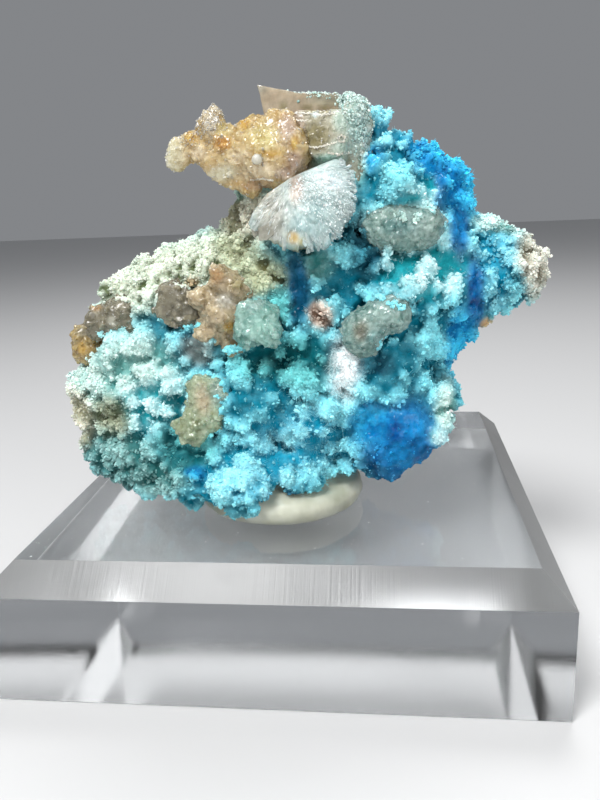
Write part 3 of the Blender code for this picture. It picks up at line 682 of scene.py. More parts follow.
def crust_skin():
    """The stone's skin: swellings, hollows and thousands of fused lumps. Returns arrays and heights."""
    chance = np.random.default_rng(CRUST_SEED)
    places, normals, faces = one_skin(*node_arrays("crusted_matrix"), 0.5)
    shares, hidden = crust_shares(places)
    habit = habit_shares(shares)
    seen = 1.0 - hidden
    fluffy = habit["tuft"] + habit["web"]
    hollows = pits(places, 3.4, 25, 0.55)
    small_hollows = pits(places, 1.9, 26, 0.4)
    swell = layered_noise(places, 3.6, 24)
    lift = fluffy * (0.5 * swell - 2.0 * hollows - 0.8 * small_hollows - 0.6)
    lift += habit["globule"] * (0.4 * swell - 0.5 * small_hollows - 0.3)
    lift += habit["sugar"] * (0.25 * swell - 0.5 * hollows - 0.35)
    lift += habit["smooth"] * (0.15 * swell - 0.1)
    base = places + normals * (lift * seen + hidden * 0.45 * facets(places, 2.6, 27))[:, None]
    open_share = seen * (1.0 - 0.93 * np.maximum(hollows, small_hollows))

    big_clouds, big_lumps = clouds_of_balls(
        base, faces, fluffy * open_share, int(120 * FEWER**0.5), (0.9, 1.35), (-0.3, 0.3), 16, (0.32, 0.52), chance
    )
    tuft_clouds, tuft_lumps = clouds_of_balls(
        base, faces, fluffy * open_share, int(600 * FEWER**0.5), (0.45, 0.9), (-0.2, 0.6), 9, (0.2, 0.4), chance
    )
    collar_clouds, collar_lumps = clouds_of_balls(
        base, faces, (1.0 - habit["smooth"]) * seen * near_crystals(base), int(330 * FEWER**0.5), (0.3, 0.55),
        (0.2, 1.0), 7, (0.16, 0.32), chance
    )
    flank_clouds, flank_lumps = clouds_at(
        *clinging_sites(base, faces, int(460 * FEWER**0.5), 2.1, chance), (0.18, 0.4), (-0.2, 0.5), 5, (0.13, 0.26), chance
    )
    bead_clouds, bead_lumps = clouds_of_balls(
        base, faces, habit["globule"], int(520 * FEWER**0.5), (0.34, 0.56), (-0.1, 0.55), 6, (0.22, 0.34), chance
    )
    sugar_clouds, sugar_lumps = clouds_of_balls(
        base, faces, habit["sugar"] * open_share, int(420 * FEWER**0.5), (0.4, 0.8), (-0.3, 0.4), 5, (0.2, 0.4), chance
    )
    skin = one_skin(
        *joined(
            (base, faces),
            ball_bodies(*big_clouds, chance), ball_bodies(*big_lumps, chance),
            ball_bodies(*tuft_clouds, chance), ball_bodies(*tuft_lumps, chance),
            ball_bodies(*collar_clouds, chance), ball_bodies(*collar_lumps, chance),
            ball_bodies(*flank_clouds, chance), ball_bodies(*flank_lumps, chance),
            ball_bodies(*bead_clouds, chance), ball_bodies(*bead_lumps, chance),
            block_bodies(*sugar_clouds, chance), block_bodies(*sugar_lumps, chance),
        ),
        0.2, 0.5, lambda spots: 0.05 + 0.95 * eased(-6.5, -3.5, spots[:, 1]),
    )
    places, normals, triangles = skin
    shares, hidden = crust_shares(places)
    habit = habit_shares(shares)
    tree = BVHTree.FromPolygons(base.tolist(), faces.tolist())
    above = np.array([tree.find_nearest(place)[3] for place in places.tolist()])
    above = np.where(above > 0.0, above, 0.0)
    fine = 0.5 + 0.5 * layered_noise(places, 0.7, 28, 2)
    drift = layered_noise(places, 2.6, 34)
    # The height sets the colour from each palette's deep colour to its tip colour: the darker hollows and the darker
    # feet of the globules are painted shade, and the paler tips are partly painted highlight
    height = 0.85 * eased(0.0, 1.3, above) + 0.45 * fine + 0.2 * drift - 0.2
    height += habit["globule"] * (0.55 * eased(0.05, 0.6, above) - 0.25)
    glassy = 0.34 + 0.7 * layered_noise(places, 2.2, 30) + 0.2 * facets(places, 0.9, 31)
    height = height * (1.0 - habit["smooth"]) + glassy * habit["smooth"]
    rough = 0.16 * layered_noise(places, 0.55, 29, 2) * (1.0 - habit["smooth"] - 0.8 * habit["globule"])
    rough += habit["smooth"] * (0.22 * domes(places, 1.1, 32) + 0.16 * facets(places, 0.7, 33) - 0.1)
    places = places + normals * rough[:, None]
    places[:, 2] = np.maximum(places[:, 2], LOWEST_CRUST)
    return places, triangles, shares, hidden, np.clip(height, 0.0, 1.0)


def crust():
    """The stone's skin and the fine grains that grow on it."""
    soft = {"IOR": 1.5, "Specular_IOR_Level": 0.12, "Subsurface_Radius": (0.6, 0.85, 0.9), "Subsurface_Scale": 0.35 * MM}
    skin_material = tinted_material("crust_skin", Roughness=0.6, Subsurface_Weight=0.6, **soft)
    grain_material = tinted_material("crust_grains", Roughness=0.4, Subsurface_Weight=0.3, **soft)
    glass_material = tinted_material(
        "blue_glass", bump=(2600.0, 0.45, 0.1), Roughness=0.2, IOR=1.5, Specular_IOR_Level=0.16,
        Subsurface_Weight=0.5, Subsurface_Radius=(0.3, 0.8, 1.0), Subsurface_Scale=0.7 * MM,
    )
    places, faces, shares, hidden, height = crust_skin()
    habit = habit_shares(shares)
    # The skin's tint follows its height, so its hollows carry painted shade
    body = object_from_arrays("crust", places, faces, skin_material, tinted(shares, CRUST_PALETTES, height * 0.9), True)
    body.data.materials.append(glass_material)
    glass_faces = (habit["smooth"][faces].mean(axis=1) > 0.55).astype(np.int32)
    body.data.polygons.foreach_set("material_index", glass_faces)
    ride_root(body, "blue_crust", "crusted_matrix")
    chance = np.random.default_rng(CRUST_SEED + 1)
    seen = 1.0 - hidden

    def grains(name, shape, weights, count, size, stand, level, stretch=(0.7, 1.4), wobble=0.15):
        """Grains of one habit: sizes and stand over the skin in millimetres, colour level by height, so grains in the
        hollows carry painted shade.
        """
        count = int(count * FEWER)
        sites, normals, nearest = surface_sites(places, faces, weights, count, chance)
        sizes = size[0] + (size[1] - size[0]) * chance.random((count, 1)) ** 2
        centres = sites + normals * sizes * chance.uniform(*stand, size=(count, 1))
        levels = height[nearest] * 0.8 + chance.uniform(*level, size=count)
        tints = tinted(shares[nearest], CRUST_PALETTES, levels) * chance.uniform(0.88, 1.1, size=(count, 1))
        scales = sizes * chance.uniform(*stretch, size=(count, 3))
        grain_piece(
            name, shape, centres, scales, random_turns(count, chance), tints, grain_material, "blue_crust",
            wobble=wobble,
        )

    def spikes(name, weights, tufts, each, length, width, level):
        """Tufts of spikes that spread from the skin: lengths in millimetres, width as a share of length."""
        tufts = int(tufts * FEWER)
        sites, normals, nearest = surface_sites(places, faces, weights, tufts, chance)
        count = tufts * each
        roots = np.repeat(sites - normals * 0.04, each, axis=0) + chance.normal(size=(count, 3)) * 0.07
        axes = np.repeat(normals, each, axis=0) * 0.8 + chance.normal(size=(count, 3)) * 0.6
        lengths = np.repeat(chance.uniform(*length, size=(tufts, 1)), each, axis=0) * chance.uniform(0.5, 1.1, (count, 1))
        scales = np.hstack((lengths * width, lengths * width, lengths))
        # Colour level by the skin's height, so tufts in the hollows carry painted shade
        levels = np.repeat(height[nearest] * 0.8 + chance.uniform(*level, size=tufts), each)
        tints = tinted(np.repeat(shares[nearest], each, axis=0), CRUST_PALETTES, levels)
        grain_piece(
            name, spike_shape(), roots, scales, turns_towards(axes, chance), tints, grain_material, "blue_crust",
            wobble=0.0,
        )

    fluffy = (habit["tuft"] + habit["web"]) * seen
    white = shares[:, list(CRUST_PATCHES).index("white_patch")]
    spikes("tuft_spikes", fluffy * (0.1 + height), 3600, 5, (0.2, 0.45), 0.5, (0.0, 0.45))
    spikes("white_needles", (white > 0.22) * seen, 420, 9, (0.3, 0.7), 0.4, (0.6, 0.9))
    grains("tuft_grains", eight_sided_shape(), fluffy * (0.2 + height), 12500, (0.09, 0.24), (-0.2, 0.7), (0.0, 0.5))
    sugar = habit["sugar"] * (0.12 + 0.88 * seen)
    grains("sugar_grains", cube_shape(), sugar * (0.4 + height), 7600, (0.08, 0.2), (0.0, 0.8), (0.1, 0.45))
    web = (habit["web"] + 0.05 * habit["tuft"]) * seen * (0.2 + height)
    spikes("fronds", web, 1500, 4, (0.45, 0.95), 0.2, (0.2, 0.6))
    beads = habit["globule"] * (0.3 + height)
    grains("globule_beads", ball_shape(1), beads, 700, (0.14, 0.3), (-0.2, 0.4), (0.0, 0.4), (0.8, 1.2))
    grains("small_beads", eight_sided_shape(), beads, 3000, (0.08, 0.2), (-0.2, 0.5), (0.0, 0.4))
    # Pale grains in the tip colour along the deep blue's lower edge: painted glints
    glints = habit["smooth"] * seen * eased(22.0, 18.5, places[:, 2])
    grains("blue_glints", eight_sided_shape(), glints, 260, (0.05, 0.12), (0.2, 0.8), (0.9, 1.0))


# Crystals

def crystal_material(name, roughness=0.18, transmission=0.6, soak=0.5, bump=(4200.0, 0.3, 0.05)):
    """A translucent crystal in the mesh's own tints, with finely pitted faces."""
    return tinted_material(
        name, cloud=(0.9, 1.08), speck=(0.93, 1.07), bump=bump, Roughness=roughness, IOR=1.5,
        Transmission_Weight=transmission, Subsurface_Weight=soak, Subsurface_Radius=(1.0, 0.95, 0.85),
        Subsurface_Scale=1.5 * MM,
    )


def crystal_tints(places, patches, plain, seed):
    """Tints of a crystal from its patches of palette, X, Z, half width and half height."""
    table = {i: patch[1:] for i, patch in enumerate(patches)}
    shares = patch_shares(places, table, 0.25, 0.15)
    height = 0.5 + 0.4 * layered_noise(places, 1.3, seed + 2) + 0.25 * facets(places, 0.5, seed + 3)
    height += 0.3 * layered_noise(places, 0.35, seed + 4, 2)
    return tinted(shares, [patch[0] for patch in patches] + [plain], height)


def fused_crystals(places, normals, faces, weights, count, size, shape, chance, sink=(-0.7, 0.3)):
    """Small crystals of one shape sunk in a skin, as places and triangles to be fused with it."""
    count = int(count * FEWER)
    sites, site_normals, _ = surface_sites(places, faces, weights, count, chance)
    sizes = size[0] + (size[1] - size[0]) * chance.random((count, 1)) ** 1.6
    centres = sites + site_normals * sizes * chance.uniform(*sink, size=(count, 1))
    scales = sizes * chance.uniform(0.7, 1.4, size=(count, 3))
    return stamped(shape, centres, scales, random_turns(count, chance), chance, 0.05)


def crystal_skin(name, node, slot, material, patches, plain, grown=(200, (0.14, 0.4)), shape=None, weights=None,
                 extra=(), voxel=0.13, grow=0.22, relief=(0.5, 0.05), sharp=24):
    """A crystal's fine skin: the solid grown over its clearance, small crystals fused to it, patches of tint."""
    seed = sum(name.encode())
    chance = np.random.default_rng(seed)
    voxel = voxel * 1.0
    places, normals, faces = grown_skin(node, 0.26, grow)
    odds = np.ones(len(places)) if weights is None else weights(places)
    count, size = grown
    small = fused_crystals(places, normals, faces, odds, count, size, shape or cube_shape(), chance)
    places, normals, faces = one_skin(*joined((places, faces), small, *extra), voxel)
    tilt, depth = relief
    lift = facets(places, tilt, seed) + 0.5 * facets(places, tilt * 0.45, seed + 1)
    places = places + normals * (depth * lift)[:, None]
    tints = crystal_tints(places, patches, plain, seed)
    made = object_from_arrays(name, places, faces, material, tints, True)
    made.data.set_sharp_from_angle(angle=math.radians(sharp))
    ride_root(made, slot, node)
    return places, faces, tints


def spot_weights(places, spots):
    """Weights round spots of X, Z, half width, half height and strength, as the camera sees them."""
    x, z = front_places(places)
    total = np.zeros(len(places))
    for spot_x, spot_z, half_width, half_height, strength in spots:
        total += strength * np.exp(-(((x - spot_x) / half_width) ** 2) - ((z - spot_z) / half_height) ** 2)
    return total


def dust(name, skin, weights, count, size, slot, material, pale=0.25, palette=None, shape=None, stand=(-0.4, 0.5)):
    """Small grains on a crystal's skin, paler than the skin by a share, or in a palette of their own."""
    places, faces, skin_tints = skin
    chance = np.random.default_rng(sum(name.encode()))
    count = int(count * FEWER)
    sites, normals, nearest = surface_sites(places, faces, weights, count, chance)
    sizes = size[0] + (size[1] - size[0]) * chance.random((count, 1)) ** 2
    centres = sites + normals * sizes * chance.uniform(*stand, size=(count, 1))
    if palette:
        tints = tinted(np.ones((count, 1)), [palette], chance.uniform(0.3, 1.0, size=count))
    else:
        share = pale * chance.random((count, 1)) * 2.0
        tints = skin_tints[nearest] * (1.0 - share) + share * srgb(246, 248, 244)
    scales = sizes * chance.uniform(0.6, 1.5, size=(count, 3))
    grain_piece(name, shape or cube_shape(), centres, scales, random_turns(count, chance), tints, material, slot)


def blades(name, roots, axes, sizes, palette, slot, material, chance, spin=math.tau):
    """Thin blades from their roots along axes: sizes are length, width share and thickness share."""
    count = len(roots)
    lengths = sizes[:, :1]
    scales = np.concatenate((lengths * sizes[:, 1:2], lengths * sizes[:, 2:3], lengths), axis=1)
    tints = tinted(np.ones((count, 1)), [palette], chance.uniform(0.2, 1.0, size=count))
    turns = turns_towards(axes, chance, spin)
    grain_piece(name, blade_shape(), roots, scales, turns, tints, material, slot, wobble=0.03)


# The rosette's fan: angles go clockwise from the camera's right, lengths are from its apex
FAN_APEX = np.array((2.6, -14.0, 44.6))
FAN_REACH = ((-20, 4.0), (0, 5.0), (25, 5.7), (50, 6.3), (75, 6.6), (98, 6.1), (122, 5.7), (136, 5.5), (150, 2.6))
FAN_RIGHT = np.array((0.99, 0.12, 0.0))
FAN_OUT = np.array((0.12, -0.97, 0.2))
FAN_BULGE_FRONT, FAN_BULGE_BACK = 2.5, 4.0


def fan_ways(degrees):
    """Directions in the fan's plane."""
    down = np.cross(FAN_RIGHT, FAN_OUT)
    down = down / np.linalg.norm(down)
    down = down if down[2] < 0 else -down
    turn = np.radians(degrees)[..., None]
    return np.cos(turn) * FAN_RIGHT + np.sin(turn) * down


def fan_body():
    """The rosette's domed fan of fused blades, finely crinkled along its rays, as places and triangles."""
    around, along = 240, 54
    low, high = FAN_REACH[0][0], FAN_REACH[-1][0]
    degrees = np.linspace(low, high, around)[:, None] * np.ones((1, along))
    radius = np.linspace(0.0, 1.0, along)[None, :] * np.ones((around, 1))
    side = (degrees - low) / (high - low)
    reach = np.interp(degrees, *zip(*FAN_REACH))

    def ray_noise(across, lengthwise, seed):
        """Noise in the fan's own angle (as millimetres at the rim) and radius."""
        spots = np.column_stack((
            (degrees * 0.1 / across).ravel(), (radius * reach / lengthwise).ravel(), (side * 3.0).ravel()
        ))
        return smooth_noise(spots, 1.0, seed).reshape(degrees.shape)

    teeth = np.floor(degrees / 3.1 + 0.5 * ray_noise(1.2, 9.0, 60))
    tooth = lattice(np.stack((teeth, teeth * 0, teeth * 0), axis=-1), 61)
    reach = reach * (1.0 + 0.09 * (tooth[..., 0] - 0.5) * eased(0.5, 0.95, radius))
    edge = np.sin(math.pi * side) ** 0.4 * np.sqrt(np.clip(1.0 - radius**5, 0, 1)) * np.clip(radius, 0, 1) ** 0.55
    flank = 1.0 - 0.3 * eased(0.55, 0.8, side)
    crinkle = 0.4 * ray_noise(0.9, 1.9, 62) + 0.35 * ray_noise(0.4, 0.8, 63) + 0.25 * ray_noise(0.2, 0.36, 64)
    steps = 0.07 * (tooth[..., 1] - 0.5) + 0.34 * crinkle * (1.0 + 0.4 * eased(0.5, 0.75, side))
    front = FAN_BULGE_FRONT * edge * flank + steps * np.minimum(radius * 2.0, 1.0) * edge**0.5
    spots = FAN_APEX + fan_ways(degrees) * (radius * reach)[..., None]
    flakes = facets(spots.reshape(-1, 3), 0.6, 65) + 0.6 * facets(spots.reshape(-1, 3), 0.27, 66)
    front = front + 0.1 * flakes.reshape(degrees.shape) * edge
    upper = spots + FAN_OUT * front[..., None]
    lower = spots - FAN_OUT * (FAN_BULGE_BACK * edge)[..., None]
    corner = np.arange(around * along).reshape(around, along)
    a, b, c, d = corner[:-1, :-1], corner[1:, :-1], corner[1:, 1:], corner[:-1, 1:]
    quads = np.stack((a, d, c, b), axis=-1).reshape(-1, 4)
    triangles = np.vstack((quads[:, [0, 1, 2]], quads[:, [0, 2, 3]]))
    places = np.vstack((upper.reshape(-1, 3), lower.reshape(-1, 3)))
    return places, np.vstack((triangles, triangles[:, ::-1] + around * along))


def fan_surface(degrees, share):
    """Places on the front of the fan, at angles and shares of the reach."""
    reach = np.interp(degrees, *zip(*FAN_REACH))[:, None]
    share = share[:, None]
    side = (degrees[:, None] - FAN_REACH[0][0]) / (FAN_REACH[-1][0] - FAN_REACH[0][0])
    height = FAN_BULGE_FRONT * np.sqrt(1.0 - share**5) * share**0.55 * np.sin(math.pi * side) ** 0.4
    height *= 1.0 - 0.3 * eased(0.55, 0.8, side)
    return FAN_APEX + fan_ways(degrees) * reach * share + FAN_OUT * height


def rosette(sugar):
    """The silky fan of fused blades, two clear crystals on its left, its ragged rim and white flecks."""
    silver = crystal_material("rosette", 0.2, 0.3, 0.6, (5200.0, 0.5, 0.06))
    clear = crystal_material("rosette_blades", 0.12, 0.5, 0.5, (3000.0, 0.15, 0.03))
    places, faces = fan_body()
    patches = [
        ("rosy silver", 0.2, 41.4, 1.6, 3.2), ("white", 6.0, 43.8, 1.0, 0.7), ("white", 5.0, 44.6, 1.2, 0.4),
        ("shaded silver", 4.0, 40.4, 2.0, 0.8), ("shaded silver", 4.6, 42.0, 0.9, 0.8), ("gold", 2.1, 39.4, 0.6, 0.6),
        ("olive smoke", 2.7, 38.3, 0.9, 0.4), ("pale honey", 2.9, 39.0, 0.5, 0.4), ("rosy", 2.6, 43.6, 0.7, 1.3),
    ]
    tints = crystal_tints(places, patches, "silver", 64)
    made = object_from_arrays("rosette", places, faces, silver, tints, True)
    weld = made.modifiers.new("weld", "WELD")
    weld.merge_threshold = 0.004 * MM
    ride_root(made, "clear_rosette", "clear_rosette")
    skin = (places, faces, tints)

    chance = np.random.default_rng(65)
    for name, outline, front_y in ROSETTE_SLABS:
        slab(name, outline, front_y, front_y + 0.45, 0.0, clear, "clear_rosette", "clear_rosette", [], "rosy silver")
    count = int(150 * FEWER)
    degrees = chance.uniform(-16, 84, size=count)
    roots = fan_surface(degrees, chance.uniform(0.86, 0.97, size=count)) - FAN_OUT * 0.2
    axes = fan_ways(degrees) + chance.normal(size=(count, 3)) * 0.2
    sizes = np.column_stack((chance.uniform(0.3, 0.55, count), chance.uniform(0.8, 1.3, count), chance.uniform(1.0, 2.0, count)))
    blades("rosette_rim", roots, axes, sizes, "silver", "clear_rosette", silver, chance, 0.8)
    count = int(520 * FEWER)
    degrees = chance.uniform(-10, 140, size=count)
    roots = fan_surface(degrees, chance.uniform(0.1, 0.9, size=count))
    axes = fan_ways(degrees) + FAN_OUT * 0.1 + chance.normal(size=(count, 3)) * 0.12
    sizes = np.column_stack((chance.uniform(0.2, 0.5, count), chance.uniform(0.12, 0.3, count), chance.uniform(0.3, 0.7, count)))
    blades("rosette_flakes", roots, axes, sizes, "white", "clear_rosette", silver, chance)
    weights = spot_weights(places, [(6.2, 42.4, 1.8, 2.4, 1.0), (5.0, 44.2, 2.0, 1.0, 1.0), (3.2, 43.2, 0.8, 1.4, 0.8)])
    weights = weights * (places[:, 1] < FAN_APEX[1] - 0.6)
    dust("rosette_specks", skin, weights, 600, (0.03, 0.09), "clear_rosette", sugar, palette="white")


# Two clear crystals that stand on the rosette's left: name, outline in X and Z, front Y
ROSETTE_SLABS = (
    ("rosette_left_blade", [(0.7, 42.7), (-0.1, 41.95), (-0.75, 41.0), (-1.02, 40.2), (-0.85, 39.7), (-0.5, 39.85),
                            (-0.1, 40.9), (0.7, 42.1)], -15.6),
    ("rosette_tab", [(0.6, 40.9), (-0.37, 40.45), (-0.3, 39.4), (0.4, 39.45), (1.35, 40.2)], -16.1),
)


def slab(name, outline, front, back, tilt, material, slot, node, patches, plain):
    """A flat crystal with sharp edges: an outline of X and Z, from one Y to another, leaning back by tilt."""
    form = bmesh.new()
    ring = [form.verts.new((x, front + tilt * (z - 50.0), z)) for x, z in outline]
    face = form.faces.new(ring)
    back_face = bmesh.ops.extrude_face_region(form, geom=[face])["geom"]
    moved = [part for part in back_face if isinstance(part, bmesh.types.BMVert)]
    bmesh.ops.translate(form, vec=(0, back - front, 0), verts=moved)
    bmesh.ops.recalc_face_normals(form, faces=form.faces)
    bmesh.ops.bevel(form, geom=form.edges[:], offset=0.09, segments=2, affect="EDGES", profile=0.6)
    bmesh.ops.triangulate(form, faces=form.faces)
    for _ in range(4):
        long = [edge for edge in form.edges if edge.calc_length() > 0.45]
        bmesh.ops.subdivide_edges(form, edges=long, cuts=1)
        bmesh.ops.triangulate(form, faces=form.faces)
    mesh = bpy.data.meshes.new("slab")
    form.to_mesh(mesh)
    form.free()
    places, normals, faces = mesh_arrays(mesh)
    bpy.data.meshes.remove(mesh)
    places = places * MM
    places = places + normals * (0.03 * facets(places, 1.6, 71) + 0.02 * layered_noise(places, 0.8, 72))[:, None]
    tints = crystal_tints(places, patches, plain, 73)
    made = object_from_arrays(name, places, faces, material, tints, True)
    made.data.set_sharp_from_angle(angle=math.radians(25))
    ride_root(made, slot, node)
    return places, faces, tints


def head(sugar):
    """The grey frosted block, its pink plate and its sugary mint rim."""
    frosted = crystal_material("frosted", 0.26, 0.25, 0.7, (5200.0, 0.5, 0.06))
    rim = [(8.4, 50.0, 0.9, 1.6, 1.0), (8.5, 47.0, 0.8, 2.4, 1.0), (6.4, 51.2, 1.8, 0.6, 1.0), (7.2, 50.4, 0.6, 1.0, 0.6)]
    skin = crystal_skin(
        "frosted_head", "frosted_crystal_head", "frosted_crystal", frosted, [
            ("olive smoke", 4.4, 47.9, 1.3, 1.1), ("aqua sugar", 8.2, 49.0, 1.1, 3.0), ("aqua sugar", 6.5, 51.0, 1.8, 0.5),
            ("rosy", 2.6, 48.6, 0.9, 1.8), ("mint glass", 6.9, 49.2, 0.9, 1.2), ("mint glass", 6.8, 46.9, 1.2, 0.8),
            ("olive smoke", 4.6, 50.2, 1.2, 0.35),
            ("white", 4.4, 49.7, 0.3, 0.25), ("glass green", 5.4, 45.8, 1.4, 0.6),
        ], "smoke", (420, (0.1, 0.26)), ball_shape(1), lambda spots: 0.08 + spot_weights(spots, rim),
    )
    places = skin[0]
    dust("head_rim", skin, spot_weights(places, rim), 1500, (0.04, 0.13), "frosted_crystal", sugar, palette="aqua sugar")
    dust("head_sparkle", skin, np.ones(len(places)), 700, (0.03, 0.09), "frosted_crystal", frosted, 0.3)
    growth_lines("head_lines", places, skin[1], [
        ((3.3, 47.4), (3.7, 47.1), (4.6, 46.95), (5.4, 47.1), (6.2, 47.3)), ((5.5, 46.5), (6.4, 46.3), (7.5, 46.4)),
        ((2.2, 49.7), (2.9, 49.9), (3.9, 49.75)), ((6.4, 47.7), (6.5, 47.35), (6.9, 47.35), (7.0, 47.7), (6.7, 47.85), (6.4, 47.7)),
        ((4.6, 49.55), (6.2, 49.65)), ((2.6, 49.4), (3.4, 49.2)),
    ], sugar)
    glass = crystal_material("plate", 0.12, 0.55, 0.5, (2400.0, 0.15, 0.04))
    outline = [(-0.5, 52.4), (3.0, 51.55), (6.5, 51.35), (6.9, 49.2), (4.6, 48.3), (2.2, 48.4), (0.1, 49.4)]
    skin = slab(
        "plate", outline, -11.6, -8.6, 0.08, glass, "plate_crystal", "plate_crystal", [
            ("smoke", 5.6, 50.9, 1.8, 0.6), ("olive smoke", 3.8, 50.3, 0.5, 0.22), ("olive smoke", 5.3, 50.25, 0.4, 0.25),
            ("olive smoke", 1.7, 50.5, 0.35, 0.4), ("rosy", 3.0, 49.8, 1.6, 0.3), ("quartz", -0.2, 52.0, 0.5, 0.4),
        ], "pink glass",
    )
    places = skin[0]
    top = [(5.0, 51.5, 1.4, 0.25, 1.0), (6.8, 50.8, 0.4, 0.8, 1.0)]
    dust("plate_frost", skin, spot_weights(places, top), 620, (0.04, 0.14), "plate_crystal", sugar, palette="aqua sugar",
         shape=ball_shape(1))


def growth_lines(name, places, faces, lines, material, slot="frosted_crystal"):
    """Fine white growth lines on a crystal: short rows of grains along routes of X and Z."""
    tree = BVHTree.FromPolygons(places.tolist(), faces.tolist())
    chance = np.random.default_rng(sum(name.encode()))
    spots = []
    for line in lines:
        for start, end in zip(line, line[1:]):
            steps = max(2, round(math.dist(start, end) / 0.07))
            for share in np.linspace(0.0, 1.0, steps):
                x = start[0] + (end[0] - start[0]) * share
                z = start[1] + (end[1] - start[1]) * share
                aim = np.array((x, FRONT_PLANE_Y, z)) - EYE
                hit = tree.ray_cast(Vector(EYE), Vector(aim / np.linalg.norm(aim)))[0]
                if hit:
                    spots.append(np.array(hit) + chance.normal(size=3) * 0.025)
    count = len(spots)
    scales = chance.uniform(0.05, 0.11, size=(count, 3))
    tints = tinted(np.ones((count, 1)), ["quartz"], chance.uniform(0.7, 1.0, size=count))
    grain_piece(name, cube_shape(), np.array(spots), scales, random_turns(count, chance), tints, material, slot)


# The serrated leaf at the arm's tip: angles go anticlockwise from +X, lengths are from its root
LEAF_ROOT = np.array((-6.7, -12.0, 47.2))
LEAF_REACH = ((108, 1.1), (133, 1.75), (146, 2.05), (181, 2.15), (202, 2.35), (219, 2.45), (240, 1.6), (256, 1.1))
# Rounded tabs along the arm's underside: centre and half sizes
ARM_TABS = (
    ((-4.85, -12.8, 45.6), (0.52, 0.42, 0.66)), ((-3.82, -12.9, 44.95), (0.6, 0.45, 0.82)),
    ((-2.87, -12.9, 44.45), (0.58, 0.45, 0.8)), ((-1.9, -12.8, 43.9), (0.6, 0.45, 0.6)),
)


# Rounded crystals that join the arm to the head: X, Y, Z and radius
ARM_SEAM = (
    (1.9, -13.0, 49.5, 0.8), (2.5, -13.2, 48.7, 1.0), (2.8, -13.4, 47.7, 1.1), (2.8, -13.5, 46.7, 1.15),
    (2.6, -13.6, 45.7, 1.1), (2.0, -13.6, 44.8, 1.0), (1.1, -13.6, 44.4, 0.9),
)


def leaf_bodies(chance):
    """Overlapping blades that fan out as the arm's cream leaf."""
    angles = np.linspace(LEAF_REACH[0][0], LEAF_REACH[-1][0], 17)
    lengths = np.interp(angles, *zip(*LEAF_REACH)) * chance.uniform(0.92, 1.04, size=len(angles))
    turn = np.radians(angles)
    axes = np.column_stack((np.cos(turn), chance.uniform(-0.12, 0.08, len(angles)), np.sin(turn)))
    scales = np.column_stack((lengths * 0.62, lengths * 2.6, lengths))
    roots = np.repeat(LEAF_ROOT[None], len(angles), axis=0)
    return stamped(blade_shape(), roots, scales, turns_towards(axes, chance, 0.3), chance, 0.03)


def arm(sugar):
    """The honey spray: druse all over, a knob, an orange spot, a cream leaf at its tip and tabs below."""
    honey = crystal_material("amber", 0.2, 0.35, 0.7, (5200.0, 0.4, 0.05))
    patches = [
        ("cream blade", -8.6, 47.1, 1.4, 2.2), ("gold", -6.6, 48.3, 0.6, 0.5), ("beige blade", -6.0, 47.0, 0.8, 0.6),
        ("clear sparkle", -4.7, 49.6, 0.8, 1.1), ("clear sparkle", -4.05, 50.5, 0.6, 0.5), ("orange", -3.7, 47.8, 0.75, 0.6),
        ("pale honey", -3.6, 49.0, 0.7, 0.6), ("gold", -1.7, 49.3, 0.5, 0.6), ("pale honey", -0.1, 48.1, 1.2, 1.2),
        ("gold", 0.4, 46.7, 1.1, 0.35), ("gold", 2.6, 47.4, 0.4, 0.7), ("beige blade", -0.8, 45.2, 1.7, 0.8),
        ("tan blade", -0.8, 44.0, 1.4, 0.5), ("cream blade", -4.0, 45.2, 1.4, 0.8), ("rosy", 2.0, 48.7, 0.8, 1.3),
        ("rosy", 2.6, 45.8, 0.9, 1.2), ("beige blade", -2.4, 46.5, 0.9, 0.7), ("rosy", 1.6, 44.9, 0.9, 0.6),
    ]
    chance = np.random.default_rng(81)
    centres = np.array([centre for centre, _ in ARM_TABS])
    halves = np.array([half for _, half in ARM_TABS])
    tabs = stamped(ball_shape(2), centres, halves, np.repeat(np.eye(3)[None], len(centres), axis=0), chance, 0.02)
    knobs = [(-4.6, 49.4, 1.3, 1.4, 1.0), (-6.6, 48.2, 0.8, 0.6, 1.0), (-2.4, 49.4, 2.0, 0.6, 0.5)]
    seam_centres, seam_radii = np.array(ARM_SEAM)[:, :3], np.array(ARM_SEAM)[:, 3:]
    seam = ball_bodies(seam_centres, seam_radii, chance)
    skin = crystal_skin(
        "amber_arm", "amber_crystal_arm", "amber_crystal", honey, patches, "honey", (900, (0.08, 0.26)), None,
        lambda spots: (0.25 + spot_weights(spots, knobs)) * (spots[:, 0] > -7.3), (leaf_bodies(chance), tabs, seam), 0.115,
    )
    places, faces, _ = skin
    even = np.ones(len(places))
    dust("amber_grains", skin, even, 900, (0.03, 0.11), "amber_crystal", honey, 0.3)
    dust("knob_sparkle", skin, spot_weights(places, knobs[:2]), 420, (0.05, 0.14), "amber_crystal", honey, 0.5,
         shape=eight_sided_shape())
    pearl = np.array((-0.45, -14.0, 46.15))
    tree = BVHTree.FromPolygons(places.tolist(), faces.tolist())
    hit = tree.ray_cast(Vector(EYE), Vector(pearl - EYE).normalized())[0]
    spot = np.array([hit if hit else pearl])
    grain_piece("pearl", ball_shape(3), spot, np.full((1, 3), 0.46), random_turns(1, chance),
                tinted(np.ones((1, 1)), ["quartz"], np.array([0.7])), honey, "amber_crystal", True, 0.01)
    growth_lines("arm_lines", places, faces, [((-1.4, 44.5), (-0.4, 44.6), (0.5, 44.4))], sugar, "amber_crystal")


